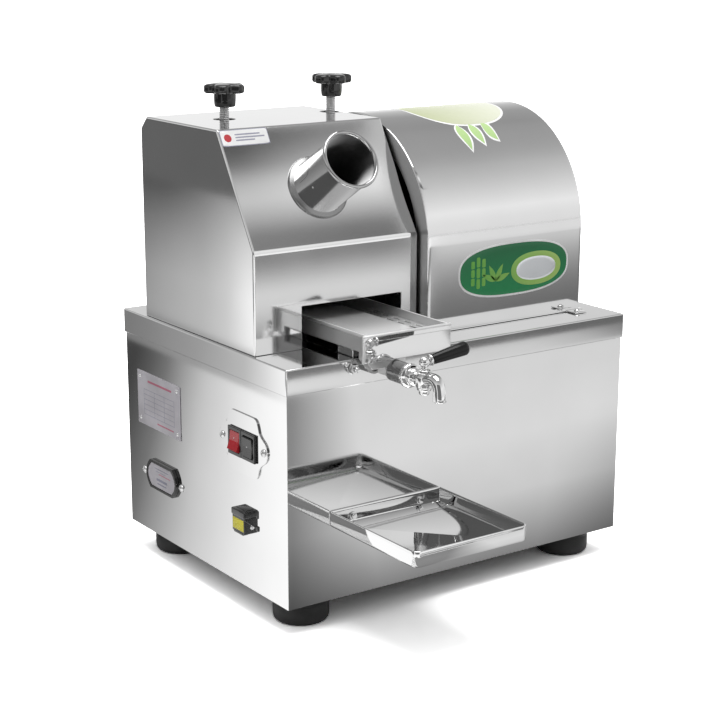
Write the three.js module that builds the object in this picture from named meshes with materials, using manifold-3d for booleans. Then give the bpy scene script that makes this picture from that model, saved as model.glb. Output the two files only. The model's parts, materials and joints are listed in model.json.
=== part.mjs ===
import * as THREE from 'three';
import { mergeVertices } from 'three/addons/utils/BufferGeometryUtils.js';
import Module from 'manifold-3d';

// Desktop sugarcane juicer with three rollers, in millimetres.
// +X is the machine's right, +Z is up, and -Y is the front, where the juice pan comes out.

// Sheet thicknesses, and the gap between pieces that touch
const gap = 0.3;
const cabinetSheet = 1.2;
const hoodSheet = 1.5;
const panSheet = 1.5;

// Cabinet, worktop and feet
const worktopWidth = 480;
const worktopDepth = 366;
const worktopHeight = 302;
const skirtDrop = 29;
const footRadius = 32;
const footHeight = 32;
const footInset = 47;
const footBoss = 22;
const cabinetReturn = 14;
const rearFrame = 22;
const basePlateThickness = 2;
const panelOverlap = 9;
const louvreCount = 6;
const louvreLength = 70;
const louvreHeight = 5;
const louvrePitch = 16;

// Roller housing
const housingInset = 4;
const housingSetback = 68.6;
const housingWidth = 217;
const housingDepth = 246.7;
const housingRise = 236.7;
const foldRise = 113.6;
const slopeRun = 72.7;
const rearChamfer = 14;
const panMouthWidth = 134;
const panMouthHeight = 48;
const panMouthInset = 61;
const screwHoleRadius = 13;
const shaftHoleMargin = 5;
const shaftHoleRise = 4;

// Rollers, their side frames and bearings
const rollerRadius = 35;
const rollerGap = 1.2;
const rollerFlutes = 30;
const fluteDepth = 1;
const shaftRadius = 12;
const rollerOverPan = 8;
const rollerRearMargin = 87.3;
const frameMargin = 35;
const frameAboveAxis = 60;
const leftFrameInset = 49;
const leftFrameThickness = 24;
const rightFrameInset = 2.5;
const rightFrameThickness = 16;
const bushWall = 5;
const bearingBlockWidth = 44;
const bearingBlockHeight = 50;
const frameCapHeight = 14;
const frameCapLength = 96;
const trashPlateThickness = 8;
const trashPlateClearance = 4;
const trashPlateNeck = 6;
const trashPlateDepth = 28;

// Pressure screws and star knobs
const screwRadius = 5.7;
const leftKnobRise = 250.7;
const rightKnobRise = 254.7;
const knobHubRadius = 12.7;
const knobHubHeight = 15.5;
const knobHeadRadius = 20.6;
const knobLobe = 3.3;
const knobLobes = 5;
const knobHeadHeight = 11.5;
const screwInKnob = 12;

// Gears
const rollerTeeth = 14;
const driveTeeth = 28;
const pinionTeeth = 14;
const driveModule = 2.8;
const pressureAngle = 20;
const toothRoot = 1.25;
const toothThinning = 0.12;
const gearRelief = 1.2;
const rollerGearWidth = 18;
const driveGearWidth = 12;
const gearClearance = 4;
const pinionShaftRadius = 8;

// Motor and gearbox
const gearboxLength = 40;
const gearboxWidth = 94;
const gearboxHeight = 96;
const motorRadius = 46;
const motorLength = 118;
const motorCapLength = 22;
const motorCapInset = 5;
const motorCapRound = 4;
const pinionDrop = 26;

// Feed tube
const feedInset = 103.7;
const feedAlongSlope = 65.9;
const feedRadius = 31;
const feedWall = 1.5;
const feedLength = 78;
const feedInside = 5;
const feedLip = 2.9;
const feedLipLength = 4.6;
const collarRadius = 37;
const collarHeight = 5;

// Arched cover
const coverGap = 2.5;
const coverWidth = 230.5;
const coverSetback = 51;
const coverRadius = 140;
const coverWallRise = 98;
const coverFlange = 22;
const coverFoot = 6;

// Bagasse chute at the rear
const chuteMouthRise = 84;
const chuteMouthHeight = 62;
const chuteWidth = 118;
const chuteRun = 44;
const chuteDrop = 30;
const chuteWall = 30;
const chuteSheet = 1.5;

// Juice pan, its outlet and the strainer tray
const panInset = 85;
const panWidth = 108;
const panDepth = 316;
const panOverhang = 19.5;
const panRimRise = 29;
const panHeight = 20;
const panFrontHeight = 30;
const panPlateLeft = 6;
const panPlateRight = 3.7;
const panHem = 7;
const panHemProud = 1;
const panRailWidth = 10;
const panRailSetback = 6;
const sumpWidth = 52;
const sumpDepth = 14;
const sumpDrop = 27;
const sumpShallow = 9;
const sumpCornerRise = 10;
const sumpCornerRun = 8;
const strainerDepth = 140;
const strainerPlate = 63;
const strainerSheet = 1.2;
const strainerFloorDrop = 9;
const slotColumns = 4;
const slotRows = 6;
const slotLength = 14;
const slotWidth = 2.4;
// The plain strips at the slots' sides and ends, as parts of a column and a row
const slotSideMargin = 0.8;
const slotEndMargin = 0.75;
const outletInset = 38;
const outletDrop = 14;
const outletRadius = 12;
const outletLength = 24;
const outletWall = 3;

// Tap
const tapNutRadius = 13.5;
const tapNutLength = 4;
const tapBarrelRadius = 9.5;
const tapNeckRadius = 7.5;
const tapReach = 24;
const tapBarrelHeight = 20;
const tapPlugRadius = 5;
const tapCapRadius = 6;
const tapCapHeight = 5;
const tapBallRadius = 6;
const tapBallRise = 20;
const spoutRadius = 7.2;
const spoutStart = 5.5;
const spoutStartRise = 1.8;
const spoutCrest = 7;
const spoutShoulder = 5;
const spoutReach = 27;
const spoutDrop = 17;
const spoutBore = 3.8;
const spoutBoreDepth = 9;
const leverLength = 50;
const leverRise = 7.5;
const leverSmall = 5;
const leverLarge = 7.8;

// Bolt on the skirt
const skirtBoltInset = 83.5;
const skirtBoltDrop = 9;
const boltHeadRadius = 5.5;
const boltShankRadius = 3;
const skirtBoltLength = 12;

// Cup tray
const trayInset = 56;
const trayWidth = 150;
const trayDepth = 156;
const trayRimHeight = 136;
const trayHeight = 18;
const traySheet = 1.2;
const trayBoltSpacing = 91;
const trayBoltDrop = 10.5;
const trayBoltRadius = 4.6;
const trayBoltHead = 4;
const trayBoltShank = 14;

// Left side panel: switches, inlet, gauge and rating plate
const switchSetback = 89.3;
const switchHeight = 199.6;
const switchPlateHalfWidth = 33;
const switchPlateHalfHeight = 34.6;
const switchPlateThickness = 1.5;
const switchEarReach = 50.5;
const switchShoulderRun = 11;
const switchShoulderDrop = 12.6;
const switchShoulderSoft = 3.4;
const switchNeckPull = 12;
const switchEarPull = 14;
const bezelWidth = 28;
const bezelHeight = 32;
const bezelThickness = 2.5;
const bezelBodyDepth = 20;
const rockerWidth = 20;
const rockerRadius = 11.5;
const rockerWall = 1.6;
const rockerSwing = 12;
const rockerEdge = 22;
const rockerHollow = 0.72;
const inletSetback = 74.2;
const inletHeight = 117.7;
const inletWidth = 27.5;
const inletBodyHeight = 26.5;
const inletProud = 19;
const inletBehind = 18;
const inletStep = 3;
const inletSocketWidth = 18;
const inletSocketDepth = 12;
const inletSocketRise = 16;
const gaugeSetback = 277.5;
const gaugeHeight = 109.3;
const gaugeHalfWidth = 27;
const gaugeBulge = 9.5;
const gaugeHalfHeight = 17.7;
const gaugeProud = 4;
const gaugeRim = 3;
const gaugeFaceThickness = 1;
const gaugeBodyDepth = 14;
const gaugeStep = 4;
const ratingSetback = 284;
const ratingHeight = 199;
const ratingWidth = 104;
const ratingRise = 66;
const ratingThickness = 0.8;

// Battery
const batteryWidth = 190;
const batteryDepth = 140;
const batteryHeight = 165;
const terminalRadius = 8;
const terminalRise = 6;
const terminalInset = 24;
const terminalSetback = 28;

// Levels and planes that several pieces share
const cabinetHalfWidth = worktopWidth / 2 - hoodSheet - gap;
const cabinetHalfDepth = worktopDepth / 2 - hoodSheet - gap;
const cabinetBottom = footHeight + gap;
const cabinetTop = worktopHeight - hoodSheet - gap;
const worktopFront = -worktopDepth / 2;
const deck = worktopHeight + gap;
const sideFace = -cabinetHalfWidth - gap;
const frontFace = -cabinetHalfDepth - gap;

const housingLeft = -worktopWidth / 2 + housingInset;
const housingRight = housingLeft + housingWidth;
const housingFront = worktopFront + housingSetback;
const housingRear = housingFront + housingDepth;
const housingTop = worktopHeight + housingRise;
const foldHeight = worktopHeight + foldRise;
const slopeTop = housingFront + slopeRun;

const panRim = worktopHeight + panRimRise;
const rollerDistance = 2 * rollerRadius + rollerGap;
const rollerModule = (rollerDistance - gearRelief) / rollerTeeth;
const gearOuterRadius = rollerModule * (rollerTeeth / 2 + 1);
const lowerSpread = 2 * gearOuterRadius + gearClearance;
const rollerY = housingRear - rollerRearMargin;
const frontRollerY = rollerY - lowerSpread / 2;
const rearRollerY = rollerY + lowerSpread / 2;
const lowerAxis = panRim + rollerOverPan + rollerRadius;
const topAxis = lowerAxis + Math.sqrt(rollerDistance ** 2 - (lowerSpread / 2) ** 2);

const leftFrameOuter = housingLeft + leftFrameInset;
const leftFrameInner = leftFrameOuter + leftFrameThickness;
const rightFrameOuter = housingRight - rightFrameInset;
const rightFrameInner = rightFrameOuter - rightFrameThickness;
const leftFrameMiddle = (leftFrameOuter + leftFrameInner) / 2;
const rightFrameMiddle = (rightFrameOuter + rightFrameInner) / 2;
const frameFront = frontRollerY - frameMargin;
const frameRear = rearRollerY + frameMargin;
const frameTop = topAxis + frameAboveAxis;
const bushRadius = shaftRadius + gap + bushWall;
const blockTop = topAxis + bearingBlockHeight / 2;
const blockBottom = topAxis - bearingBlockHeight / 2;

const coverLeft = housingRight + coverGap;
const coverRight = coverLeft + coverWidth;
const coverFront = worktopFront + coverSetback;
const coverMiddle = coverFront + coverRadius;
const coverSpring = worktopHeight + coverWallRise;
const gearLeft = coverLeft + hoodSheet + gearClearance;
const gearRight = gearLeft + rollerGearWidth;
const driveLeft = gearRight + 2;
const driveRight = driveLeft + driveGearWidth;
const driveDistance = driveModule * (driveTeeth + pinionTeeth) / 2 + gap;
const pinionY = rearRollerY - Math.sqrt(driveDistance ** 2 - pinionDrop ** 2);
const pinionZ = lowerAxis - pinionDrop;
const gearboxLeft = driveRight + gearClearance;
const gearboxRight = gearboxLeft + gearboxLength;

const panLeft = housingLeft + panInset;
const panRight = panLeft + panWidth;
const panFront = worktopFront - panOverhang;
const panRear = panFront + panDepth;
const panBottom = panRim - panHeight;
const panFrontBack = panFront - gap;
const panFrontFace = panFrontBack - panSheet;
const sumpBottom = panBottom - sumpDrop;
const outletX = panLeft + outletInset;
const outletZ = worktopHeight - outletDrop;
const outletEnd = panFront - outletLength;
const tapY = outletEnd - gap - tapNutLength - tapReach;
const tapTop = outletZ + tapBarrelHeight / 2;
const tapBottom = outletZ - tapBarrelHeight / 2;

// The slope's outward normal leans this far from the vertical
const slopeLength = Math.hypot(slopeRun, housingRise - foldRise);
const slopeAngle = Math.atan2(housingRise - foldRise, slopeRun);
const feedPlace = [
  housingLeft + feedInset,
  housingFront + feedAlongSlope * slopeRun / slopeLength,
  foldHeight + feedAlongSlope * (housingRise - foldRise) / slopeLength,
];

const wasm = await Module();
wasm.setup();

// Turns a closed three.js geometry into a solid for joining and cutting
function solid(geometry) {
  const bare = geometry.index ? geometry.toNonIndexed() : geometry;
  for (const name of Object.keys(bare.attributes)) {
    if (name !== 'position') bare.deleteAttribute(name);
  }
  const merged = mergeVertices(bare, 1e-4);
  return new wasm.Manifold(new wasm.Mesh({
    numProp: 3,
    vertProperties: new Float32Array(merged.attributes.position.array),
    triVerts: new Uint32Array(merged.index.array),
  }));
}

// Turns a solid back into a three.js geometry
function geometryOf(body) {
  const mesh = body.getMesh();
  const geometry = new THREE.BufferGeometry();
  geometry.setAttribute('position', new THREE.BufferAttribute(new Float32Array(mesh.vertProperties), 3));
  geometry.setIndex(new THREE.BufferAttribute(new Uint32Array(mesh.triVerts), 1));
  geometry.computeVertexNormals();
  return geometry;
}

function box(x0, x1, y0, y1, z0, z1) {
  const geometry = new THREE.BoxGeometry(x1 - x0, y1 - y0, z1 - z0);
  geometry.translate((x0 + x1) / 2, (y0 + y1) / 2, (z0 + z1) / 2);
  return solid(geometry);
}

// Spins a profile of [radius, height] points about the Z axis
function spin(profile, segments = 36) {
  const points = profile.map(([radius, height]) => new THREE.Vector2(radius, height));
  return solid(new THREE.LatheGeometry(points, segments).rotateX(Math.PI / 2));
}

// A plain cylinder along Z, from z0 to z1
function cylinder(radius, z0, z1, segments = 24) {
  return spin([[0, z0], [radius, z0], [radius, z1], [0, z1]], segments);
}

function turned(body, rx, ry, rz) {
  const matrix = new THREE.Matrix4().makeRotationFromEuler(new THREE.Euler(rx, ry, rz));
  return body.transform(matrix.elements);
}

// Lays a body made along Z onto the X axis, or onto the -Y axis
const alongX = (body) => turned(body, 0, Math.PI / 2, 0);
const alongFront = (body) => turned(body, Math.PI / 2, 0, 0);

function outline(points) {
  return new THREE.Shape(points.map(([a, b]) => new THREE.Vector2(a, b)));
}

// Extrudes a (y, z) outline along X
function prismX(shape, x0, x1) {
  const geometry = new THREE.ExtrudeGeometry(shape, {
    depth: x1 - x0,
    bevelEnabled: false,
    curveSegments: 16,
  });
  const axes = new THREE.Matrix4().makeBasis(
    new THREE.Vector3(0, 1, 0),
    new THREE.Vector3(0, 0, 1),
    new THREE.Vector3(1, 0, 0),
  );
  geometry.applyMatrix4(axes);
  return solid(geometry).translate([x0, 0, 0]);
}

// Extrudes an (x, z) outline from y0 forward to y1, where y1 lies in front of y0
function prismFront(shape, y0, y1) {
  const geometry = new THREE.ExtrudeGeometry(shape, {
    depth: y0 - y1,
    bevelEnabled: false,
    curveSegments: 8,
  });
  return solid(geometry).rotate([90, 0, 0]).translate([0, y0, 0]);
}

const machine = new THREE.Group();
const materials = {
  steel: { color: 0xc4c6c8, roughness: 0.15, metalness: 1 },
  brushed: { color: 0xa9abad, roughness: 0.4, metalness: 1 },
  chrome: { color: 0xdcdee0, roughness: 0.08, metalness: 1 },
  iron: { color: 0x4b4d50, roughness: 0.6, metalness: 0.8 },
  bronze: { color: 0xa8803c, roughness: 0.45, metalness: 1 },
  black: { color: 0x161616, roughness: 0.45, metalness: 0 },
  rubber: { color: 0x1b1b1c, roughness: 0.85, metalness: 0 },
  red: { color: 0xb3202a, roughness: 0.35, metalness: 0 },
  pale: { color: 0xd9d8dc, roughness: 0.5, metalness: 0 },
  blue: { color: 0x2f4c6e, roughness: 0.5, metalness: 0.2 },
};

function add(name, body, finish, place = [0, 0, 0], parent = machine) {
  const mesh = new THREE.Mesh(geometryOf(body), new THREE.MeshStandardMaterial(materials[finish]));
  mesh.name = name;
  mesh.position.set(...place);
  parent.add(mesh);
  return mesh;
}

// Cabinet: four walls with a flange turned in at the bottom and a service hole in the rear
function cabinetShell() {
  const wall = cabinetSheet;
  const halfX = cabinetHalfWidth;
  const halfY = cabinetHalfDepth;
  const innerX = halfX - wall;
  const innerY = halfY - wall;
  const openX = halfX - cabinetReturn;
  const openY = halfY - cabinetReturn;
  const holeX = halfX - rearFrame;
  const holeBottom = cabinetBottom + rearFrame;
  const holeTop = cabinetTop - skirtDrop - rearFrame;
  let shell = box(-halfX, halfX, -halfY, halfY, cabinetBottom, cabinetTop);
  shell = shell.subtract(box(-innerX, innerX, -innerY, innerY, cabinetBottom + wall, cabinetTop + 1));
  shell = shell.subtract(box(-openX, openX, -openY, openY, cabinetBottom - 1, cabinetBottom + 2 * wall));
  shell = shell.subtract(box(-holeX, holeX, halfY - 2 * wall, halfY + 1, holeBottom, holeTop));
  for (const y of switchPlaces()) {
    shell = shell.subtract(sideHole(y, switchHeight, bodyWidth() + 2 * gap, bodyHeight() + 2 * gap));
  }
  const inletY = worktopFront + inletSetback;
  const inletNeck = 2 * (gap - inletStep);
  shell = shell.subtract(sideHole(inletY, inletHeight, inletWidth + inletNeck, inletBodyHeight + inletNeck));
  const gaugeY = worktopFront + gaugeSetback;
  const gaugeHole = [gaugeHalfWidth, gaugeHalfHeight].map((half) => 2 * (half - gaugeStep + gap));
  shell = shell.subtract(sideHole(gaugeY, gaugeHeight, ...gaugeHole));
  for (const x of trayBoltPlaces()) {
    const hole = alongFront(cylinder(boltShankRadius + gap, -5, 5, 16));
    shell = shell.subtract(hole.translate([x, -halfY, trayRimHeight - trayBoltDrop]));
  }
  return shell;
}

// A hole through the left wall, centred on y and z
function sideHole(y, z, width, height) {
  const x0 = -cabinetHalfWidth - 1;
  const x1 = -cabinetHalfWidth + 5;
  return box(x0, x1, y - width / 2, y + width / 2, z - height / 2, z + height / 2);
}

function basePlate() {
  const halfX = cabinetHalfWidth - cabinetSheet - gap;
  const halfY = cabinetHalfDepth - cabinetSheet - gap;
  const bottom = cabinetBottom + cabinetSheet + gap;
  return box(-halfX, halfX, -halfY, halfY, bottom, bottom + basePlateThickness);
}

function rearPanel() {
  const panelHalfX = cabinetHalfWidth - rearFrame + panelOverlap;
  const bottom = cabinetBottom + rearFrame - panelOverlap;
  const top = cabinetTop - skirtDrop - rearFrame + panelOverlap;
  const y = cabinetHalfDepth + gap;
  let panel = box(-panelHalfX, panelHalfX, y, y + cabinetSheet, bottom, top);
  const middle = (bottom + top) / 2;
  for (const side of [-1, 1]) {
    for (let row = 0; row < louvreCount; row += 1) {
      const x = side * louvreLength;
      const z = middle + (row - (louvreCount - 1) / 2) * louvrePitch;
      const halfX = louvreLength / 2;
      const halfZ = louvreHeight / 2;
      panel = panel.subtract(box(x - halfX, x + halfX, y - 1, y + 3, z - halfZ, z + halfZ));
    }
  }
  return panel;
}

function worktop() {
  const halfX = worktopWidth / 2;
  const halfY = worktopDepth / 2;
  const innerX = halfX - hoodSheet;
  const innerY = halfY - hoodSheet;
  const bottom = worktopHeight - skirtDrop;
  const outer = box(-halfX, halfX, -halfY, halfY, bottom, worktopHeight);
  return outer.subtract(box(-innerX, innerX, -innerY, innerY, bottom - 1, worktopHeight - hoodSheet));
}

// Rubber foot with a boss that reaches up through the cabinet's open bottom to the base plate
function foot() {
  const seat = cabinetBottom + cabinetSheet;
  return spin([
    [0, 0],
    [footRadius - 2, 0],
    [footRadius, 2],
    [footRadius - 1, footHeight],
    [footBoss, footHeight],
    [footBoss, seat],
    [0, seat],
  ], 36);
}

// Roller housing: sheet hood with a sloped front
function housingOutline(inset, bottom) {
  const lean = inset * Math.tan((Math.PI / 2 - slopeAngle) / 2);
  const rearLean = rearChamfer + inset * Math.tan(Math.PI / 8);
  return outline([
    [housingFront + inset, bottom],
    [housingRear - inset, bottom],
    [housingRear - inset, housingTop - rearLean],
    [housingRear - rearLean, housingTop - inset],
    [slopeTop + inset * Math.tan(slopeAngle / 2), housingTop - inset],
    [housingFront + inset, foldHeight - lean],
  ]);
}

function rollerHousing() {
  const wall = hoodSheet;
  let hood = prismX(housingOutline(0, deck), housingLeft, housingRight);
  hood = hood.subtract(prismX(housingOutline(wall, deck - 1), housingLeft + wall, housingRight - wall));
  const mouthLeft = housingLeft + panMouthInset;
  const mouthRight = mouthLeft + panMouthWidth;
  const mouthTop = worktopHeight + panMouthHeight;
  hood = hood.subtract(box(mouthLeft, mouthRight, housingFront - 1, housingFront + 5, deck - 1, mouthTop));
  const feedHole = turned(cylinder(feedRadius + gap, -4 * hoodSheet, 4 * hoodSheet, 48), slopeAngle, 0, 0);
  hood = hood.subtract(feedHole.translate(feedPlace));
  // The screw holes stop short of the side walls
  const edge = wall + gap;
  const [roofBottom, roofTop] = [housingTop - 5, housingTop + 5];
  const roof = box(housingLeft + edge, housingRight - edge, housingFront, housingRear, roofBottom, roofTop);
  for (const x of [leftFrameMiddle, rightFrameMiddle]) {
    const hole = cylinder(screwHoleRadius, roofBottom, roofTop, 32).translate([x, rollerY, 0]);
    hood = hood.subtract(hole.intersect(roof));
  }
  const shaftRoom = shaftRadius + shaftHoleMargin;
  const shaftFront = frontRollerY - shaftRoom;
  const shaftRear = rearRollerY + shaftRoom;
  const shaftTop = topAxis + shaftRoom + shaftHoleRise;
  const shaftHole = [shaftFront, shaftRear, lowerAxis - shaftRoom, shaftTop];
  hood = hood.subtract(box(housingRight - 5, housingRight + 1, ...shaftHole));
  const chuteMiddle = (leftFrameInner + rightFrameInner) / 2;
  const chuteBottom = worktopHeight + chuteMouthRise;
  const chuteTop = chuteBottom + chuteMouthHeight;
  const chuteLeft = chuteMiddle - chuteWidth / 2;
  const chuteRight = chuteMiddle + chuteWidth / 2;
  return hood.subtract(box(chuteLeft, chuteRight, housingRear - 5, housingRear + 1, chuteBottom, chuteTop));
}

// Feed tube, along local Z from the housing's slope outward
function feedTube() {
  const bore = feedRadius - feedWall;
  return spin([
    [bore, -feedInside],
    [feedRadius, -feedInside],
    [feedRadius, feedLength - feedLipLength],
    [feedRadius + feedLip, feedLength - feedLipLength],
    [feedRadius + feedLip, feedLength],
    [bore, feedLength],
    [bore, -feedInside],
  ], 48);
}

function feedCollar() {
  const bore = feedRadius + gap;
  return spin([
    [bore, gap],
    [collarRadius, gap],
    [collarRadius, collarHeight * 0.5],
    [collarRadius - 2.5, collarHeight],
    [bore, collarHeight],
    [bore, gap],
  ], 48);
}

// Arched cover: a half-round hood with a closed right end and a flange round its open left end
function archOutline(inset, bottom) {
  const shape = new THREE.Shape();
  const radius = coverRadius - inset;
  shape.moveTo(coverMiddle - radius, bottom);
  shape.lineTo(coverMiddle + radius, bottom);
  shape.lineTo(coverMiddle + radius, coverSpring);
  shape.absarc(coverMiddle, coverSpring, radius, 0, Math.PI, false);
  shape.lineTo(coverMiddle - radius, bottom);
  return shape;
}

function archedCover() {
  const wall = hoodSheet;
  let cover = prismX(archOutline(0, deck), coverLeft, coverRight);
  cover = cover.subtract(prismX(archOutline(wall, deck - 1), coverLeft + wall, coverRight - wall));
  cover = cover.subtract(prismX(archOutline(coverFlange, deck - 1), coverLeft - 1, coverLeft + 2 * wall));
  for (const edge of [coverFront - coverFoot, coverMiddle + coverRadius - wall]) {
    cover = cover.add(box(coverLeft, coverRight, edge, edge + coverFoot + wall, deck, deck + wall));
  }
  return cover;
}

// Side frame: a plate with a slot from the top for the bearing block and two bores for the lower bushes
function sideFrame(inner, outer) {
  const [x0, x1] = [Math.min(inner, outer), Math.max(inner, outer)];
  let frame = box(x0, x1, frameFront, frameRear, deck, frameTop);
  const slotFront = rollerY - bearingBlockWidth / 2 - gap;
  const slotRear = rollerY + bearingBlockWidth / 2 + gap;
  frame = frame.subtract(box(x0 - 1, x1 + 1, slotFront, slotRear, blockBottom - gap, frameTop + 1));
  for (const y of [frontRollerY, rearRollerY]) {
    const bore = alongX(cylinder(bushRadius + gap, x0 - 1, x1 + 1));
    frame = frame.subtract(bore.translate([0, y, lowerAxis]));
  }
  return frame;
}

function frameCap(middle, thickness) {
  const half = thickness / 2;
  const y0 = rollerY - frameCapLength / 2;
  const y1 = rollerY + frameCapLength / 2;
  const cap = box(middle - half, middle + half, y0, y1, frameTop + gap, frameTop + gap + frameCapHeight);
  const thread = cylinder(screwRadius + gap, frameTop - 1, frameTop + frameCapHeight + 2, 16);
  return cap.subtract(thread.translate([middle, rollerY, 0]));
}

// Bush for a lower roller, along X
function bush(length) {
  return alongX(spin([
    [shaftRadius + gap, 0],
    [bushRadius, 0],
    [bushRadius, length],
    [shaftRadius + gap, length],
    [shaftRadius + gap, 0],
  ], 24));
}

function bearingBlock(thickness) {
  const halfX = thickness / 2;
  const halfY = bearingBlockWidth / 2;
  const halfZ = bearingBlockHeight / 2;
  const block = box(-halfX, halfX, -halfY, halfY, -halfZ, halfZ);
  return block.subtract(alongX(cylinder(shaftRadius + gap, -thickness, thickness)));
}

// Fluted roller with its shaft, along X, given the shaft's right end
function roller(shaftEnd) {
  const rim = [];
  for (let step = 0; step < 2 * rollerFlutes; step += 1) {
    const radius = step % 2 ? rollerRadius - fluteDepth : rollerRadius;
    const angle = step * Math.PI / rollerFlutes;
    rim.push([radius * Math.cos(angle), radius * Math.sin(angle)]);
  }
  const barrel = prismX(outline(rim), leftFrameInner + gap, rightFrameInner - gap);
  return barrel.add(alongX(cylinder(shaftRadius, leftFrameOuter, shaftEnd, 24)));
}

// Scraper bar that carries the cane over the gap between the lower rollers
function trashPlate() {
  const half = trashPlateThickness / 2;
  const top = topAxis - rollerRadius - trashPlateClearance;
  const neck = lowerAxis + trashPlateNeck;
  const bottom = lowerAxis - trashPlateDepth;
  const shape = outline([
    [rollerY - half, bottom],
    [rollerY + half, bottom],
    [rollerY + half, neck],
    [rollerY + half * 2, top],
    [rollerY - half * 2, top],
    [rollerY - half, neck],
  ]);
  return prismX(shape, leftFrameInner + gap, rightFrameInner - gap);
}

// Involute gear in the (y, z) plane, with a tooth centred on the given angle
function gearOutline(teeth, module, phase) {
  const pitchRadius = module * teeth / 2;
  const pressure = THREE.MathUtils.degToRad(pressureAngle);
  const baseRadius = pitchRadius * Math.cos(pressure);
  const tipRadius = pitchRadius + module;
  const rootRadius = pitchRadius - toothRoot * module;
  const involute = (angle) => Math.tan(angle) - angle;
  const halfTooth = Math.PI / (2 * teeth) - toothThinning / pitchRadius;
  const halfAngle = (radius) => {
    const lean = Math.acos(Math.min(1, baseRadius / radius));
    return halfTooth + involute(pressure) - involute(lean);
  };
  const low = Math.max(baseRadius, rootRadius);
  const flank = [rootRadius, (low + tipRadius) / 2, tipRadius];
  const points = [];
  for (let tooth = 0; tooth < teeth; tooth += 1) {
    const middle = phase + tooth * 2 * Math.PI / teeth;
    const rising = flank.map((radius) => [radius, middle - halfAngle(Math.max(radius, low))]);
    const falling = [...flank].reverse().map((radius) => [radius, middle + halfAngle(Math.max(radius, low))]);
    for (const [radius, angle] of [...rising, ...falling]) {
      points.push([radius * Math.cos(angle), radius * Math.sin(angle)]);
    }
  }
  return outline(points);
}

// Phase that puts a follower gear in mesh with its driver
function meshedPhase(driverPhase, driverTeeth, followerTeeth, direction) {
  const driverPitch = 2 * Math.PI / driverTeeth;
  const followerPitch = 2 * Math.PI / followerTeeth;
  const offset = (direction - driverPhase) / driverPitch;
  return direction + Math.PI - followerPitch * (0.5 - offset);
}

function gear(teeth, module, phase, width, bore) {
  const blank = prismX(gearOutline(teeth, module, phase), 0, width);
  return blank.subtract(alongX(cylinder(bore, -1, width + 1)));
}

function motorPinion(phase) {
  const teeth = prismX(gearOutline(pinionTeeth, driveModule, phase), driveLeft, driveRight);
  const shaft = alongX(cylinder(pinionShaftRadius, driveRight - 1, gearboxLeft + gearboxLength / 2, 20));
  return teeth.add(shaft);
}

// Gearbox on a foot, with a blind bore for the pinion's shaft
function gearbox() {
  const half = gearboxWidth / 2;
  const housing = box(gearboxLeft, gearboxRight, pinionY - half, pinionY + half, deck, deck + gearboxHeight);
  const boreEnd = gearboxLeft + gearboxLength / 2 + gap;
  const bore = alongX(cylinder(pinionShaftRadius + gap, gearboxLeft - 1, boreEnd, 20));
  return housing.subtract(bore.translate([0, pinionY, pinionZ]));
}

function motor() {
  const start = gearboxRight + gap;
  const end = start + motorLength;
  return alongX(spin([
    [0, start],
    [motorRadius, start],
    [motorRadius, end - motorCapLength],
    [motorRadius - motorCapInset, end - motorCapLength + 2],
    [motorRadius - motorCapInset, end - motorCapRound],
    [motorRadius - motorCapInset - motorCapRound, end],
    [0, end],
  ], 32));
}

function screwRod(knobBottom) {
  return cylinder(screwRadius, blockTop + gap, knobBottom + screwInKnob, 16);
}

// Star knob: a lobed head on a round hub, with a blind hole for the screw
function starKnob() {
  const count = knobLobes * 10;
  const rim = [];
  for (let step = 0; step < count; step += 1) {
    const angle = step * 2 * Math.PI / count;
    const wave = Math.cos(knobLobes * angle);
    const radius = knobHeadRadius + knobLobe * (1 - (1 - wave) ** 2 / 2);
    rim.push([radius * Math.cos(angle), radius * Math.sin(angle)]);
  }
  const bevel = 1.5;
  const head = solid(new THREE.ExtrudeGeometry(outline(rim), {
    depth: knobHeadHeight - 2 * bevel,
    bevelThickness: bevel,
    bevelSize: bevel,
    bevelOffset: -bevel,
    bevelSegments: 1,
  }));
  const hub = cylinder(knobHubRadius, 0, knobHubHeight + 1, 28);
  const hole = cylinder(screwRadius + gap, -1, screwInKnob + gap, 16);
  return head.translate([0, 0, knobHubHeight + bevel]).add(hub).subtract(hole);
}

// Bagasse chute: a sloped floor with two sides, outside the rear mouth
function bagasseChute() {
  const y0 = housingRear + gap;
  const y1 = y0 + chuteRun;
  const z0 = worktopHeight + chuteMouthRise;
  const wall = chuteSheet;
  const middle = (leftFrameInner + rightFrameInner) / 2;
  const half = chuteWidth / 2 + wall;
  const side = outline([
    [y0, z0 - wall],
    [y1, z0 - wall - chuteDrop],
    [y1, z0 - wall - chuteDrop + chuteWall / 2],
    [y0, z0 - wall + chuteWall],
  ]);
  const hollow = outline([
    [y0 - 1, z0],
    [y1 + 1, z0 - chuteDrop],
    [y1 + 1, z0 + 2 * chuteWall],
    [y0 - 1, z0 + 2 * chuteWall],
  ]);
  const trough = prismX(side, middle - half, middle + half);
  return trough.subtract(prismX(hollow, middle - half + wall, middle + half - wall));
}

// Juice pan: a shallow trough with a sump under its front end and an outlet boss on the sump
function sumpOutline(inset) {
  const left = panLeft + inset;
  const right = panLeft + sumpWidth - inset;
  const bottom = sumpBottom + inset;
  const shallow = sumpBottom + sumpShallow + inset;
  const step = outletX - outletRadius - 1;
  return outline([
    [left, panBottom + panSheet + inset],
    [left, shallow + sumpCornerRise],
    [left + sumpCornerRun, shallow],
    [step + inset, shallow],
    [step + inset, bottom],
    [right, bottom],
    [right, panBottom + panSheet + inset],
  ]);
}

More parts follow.
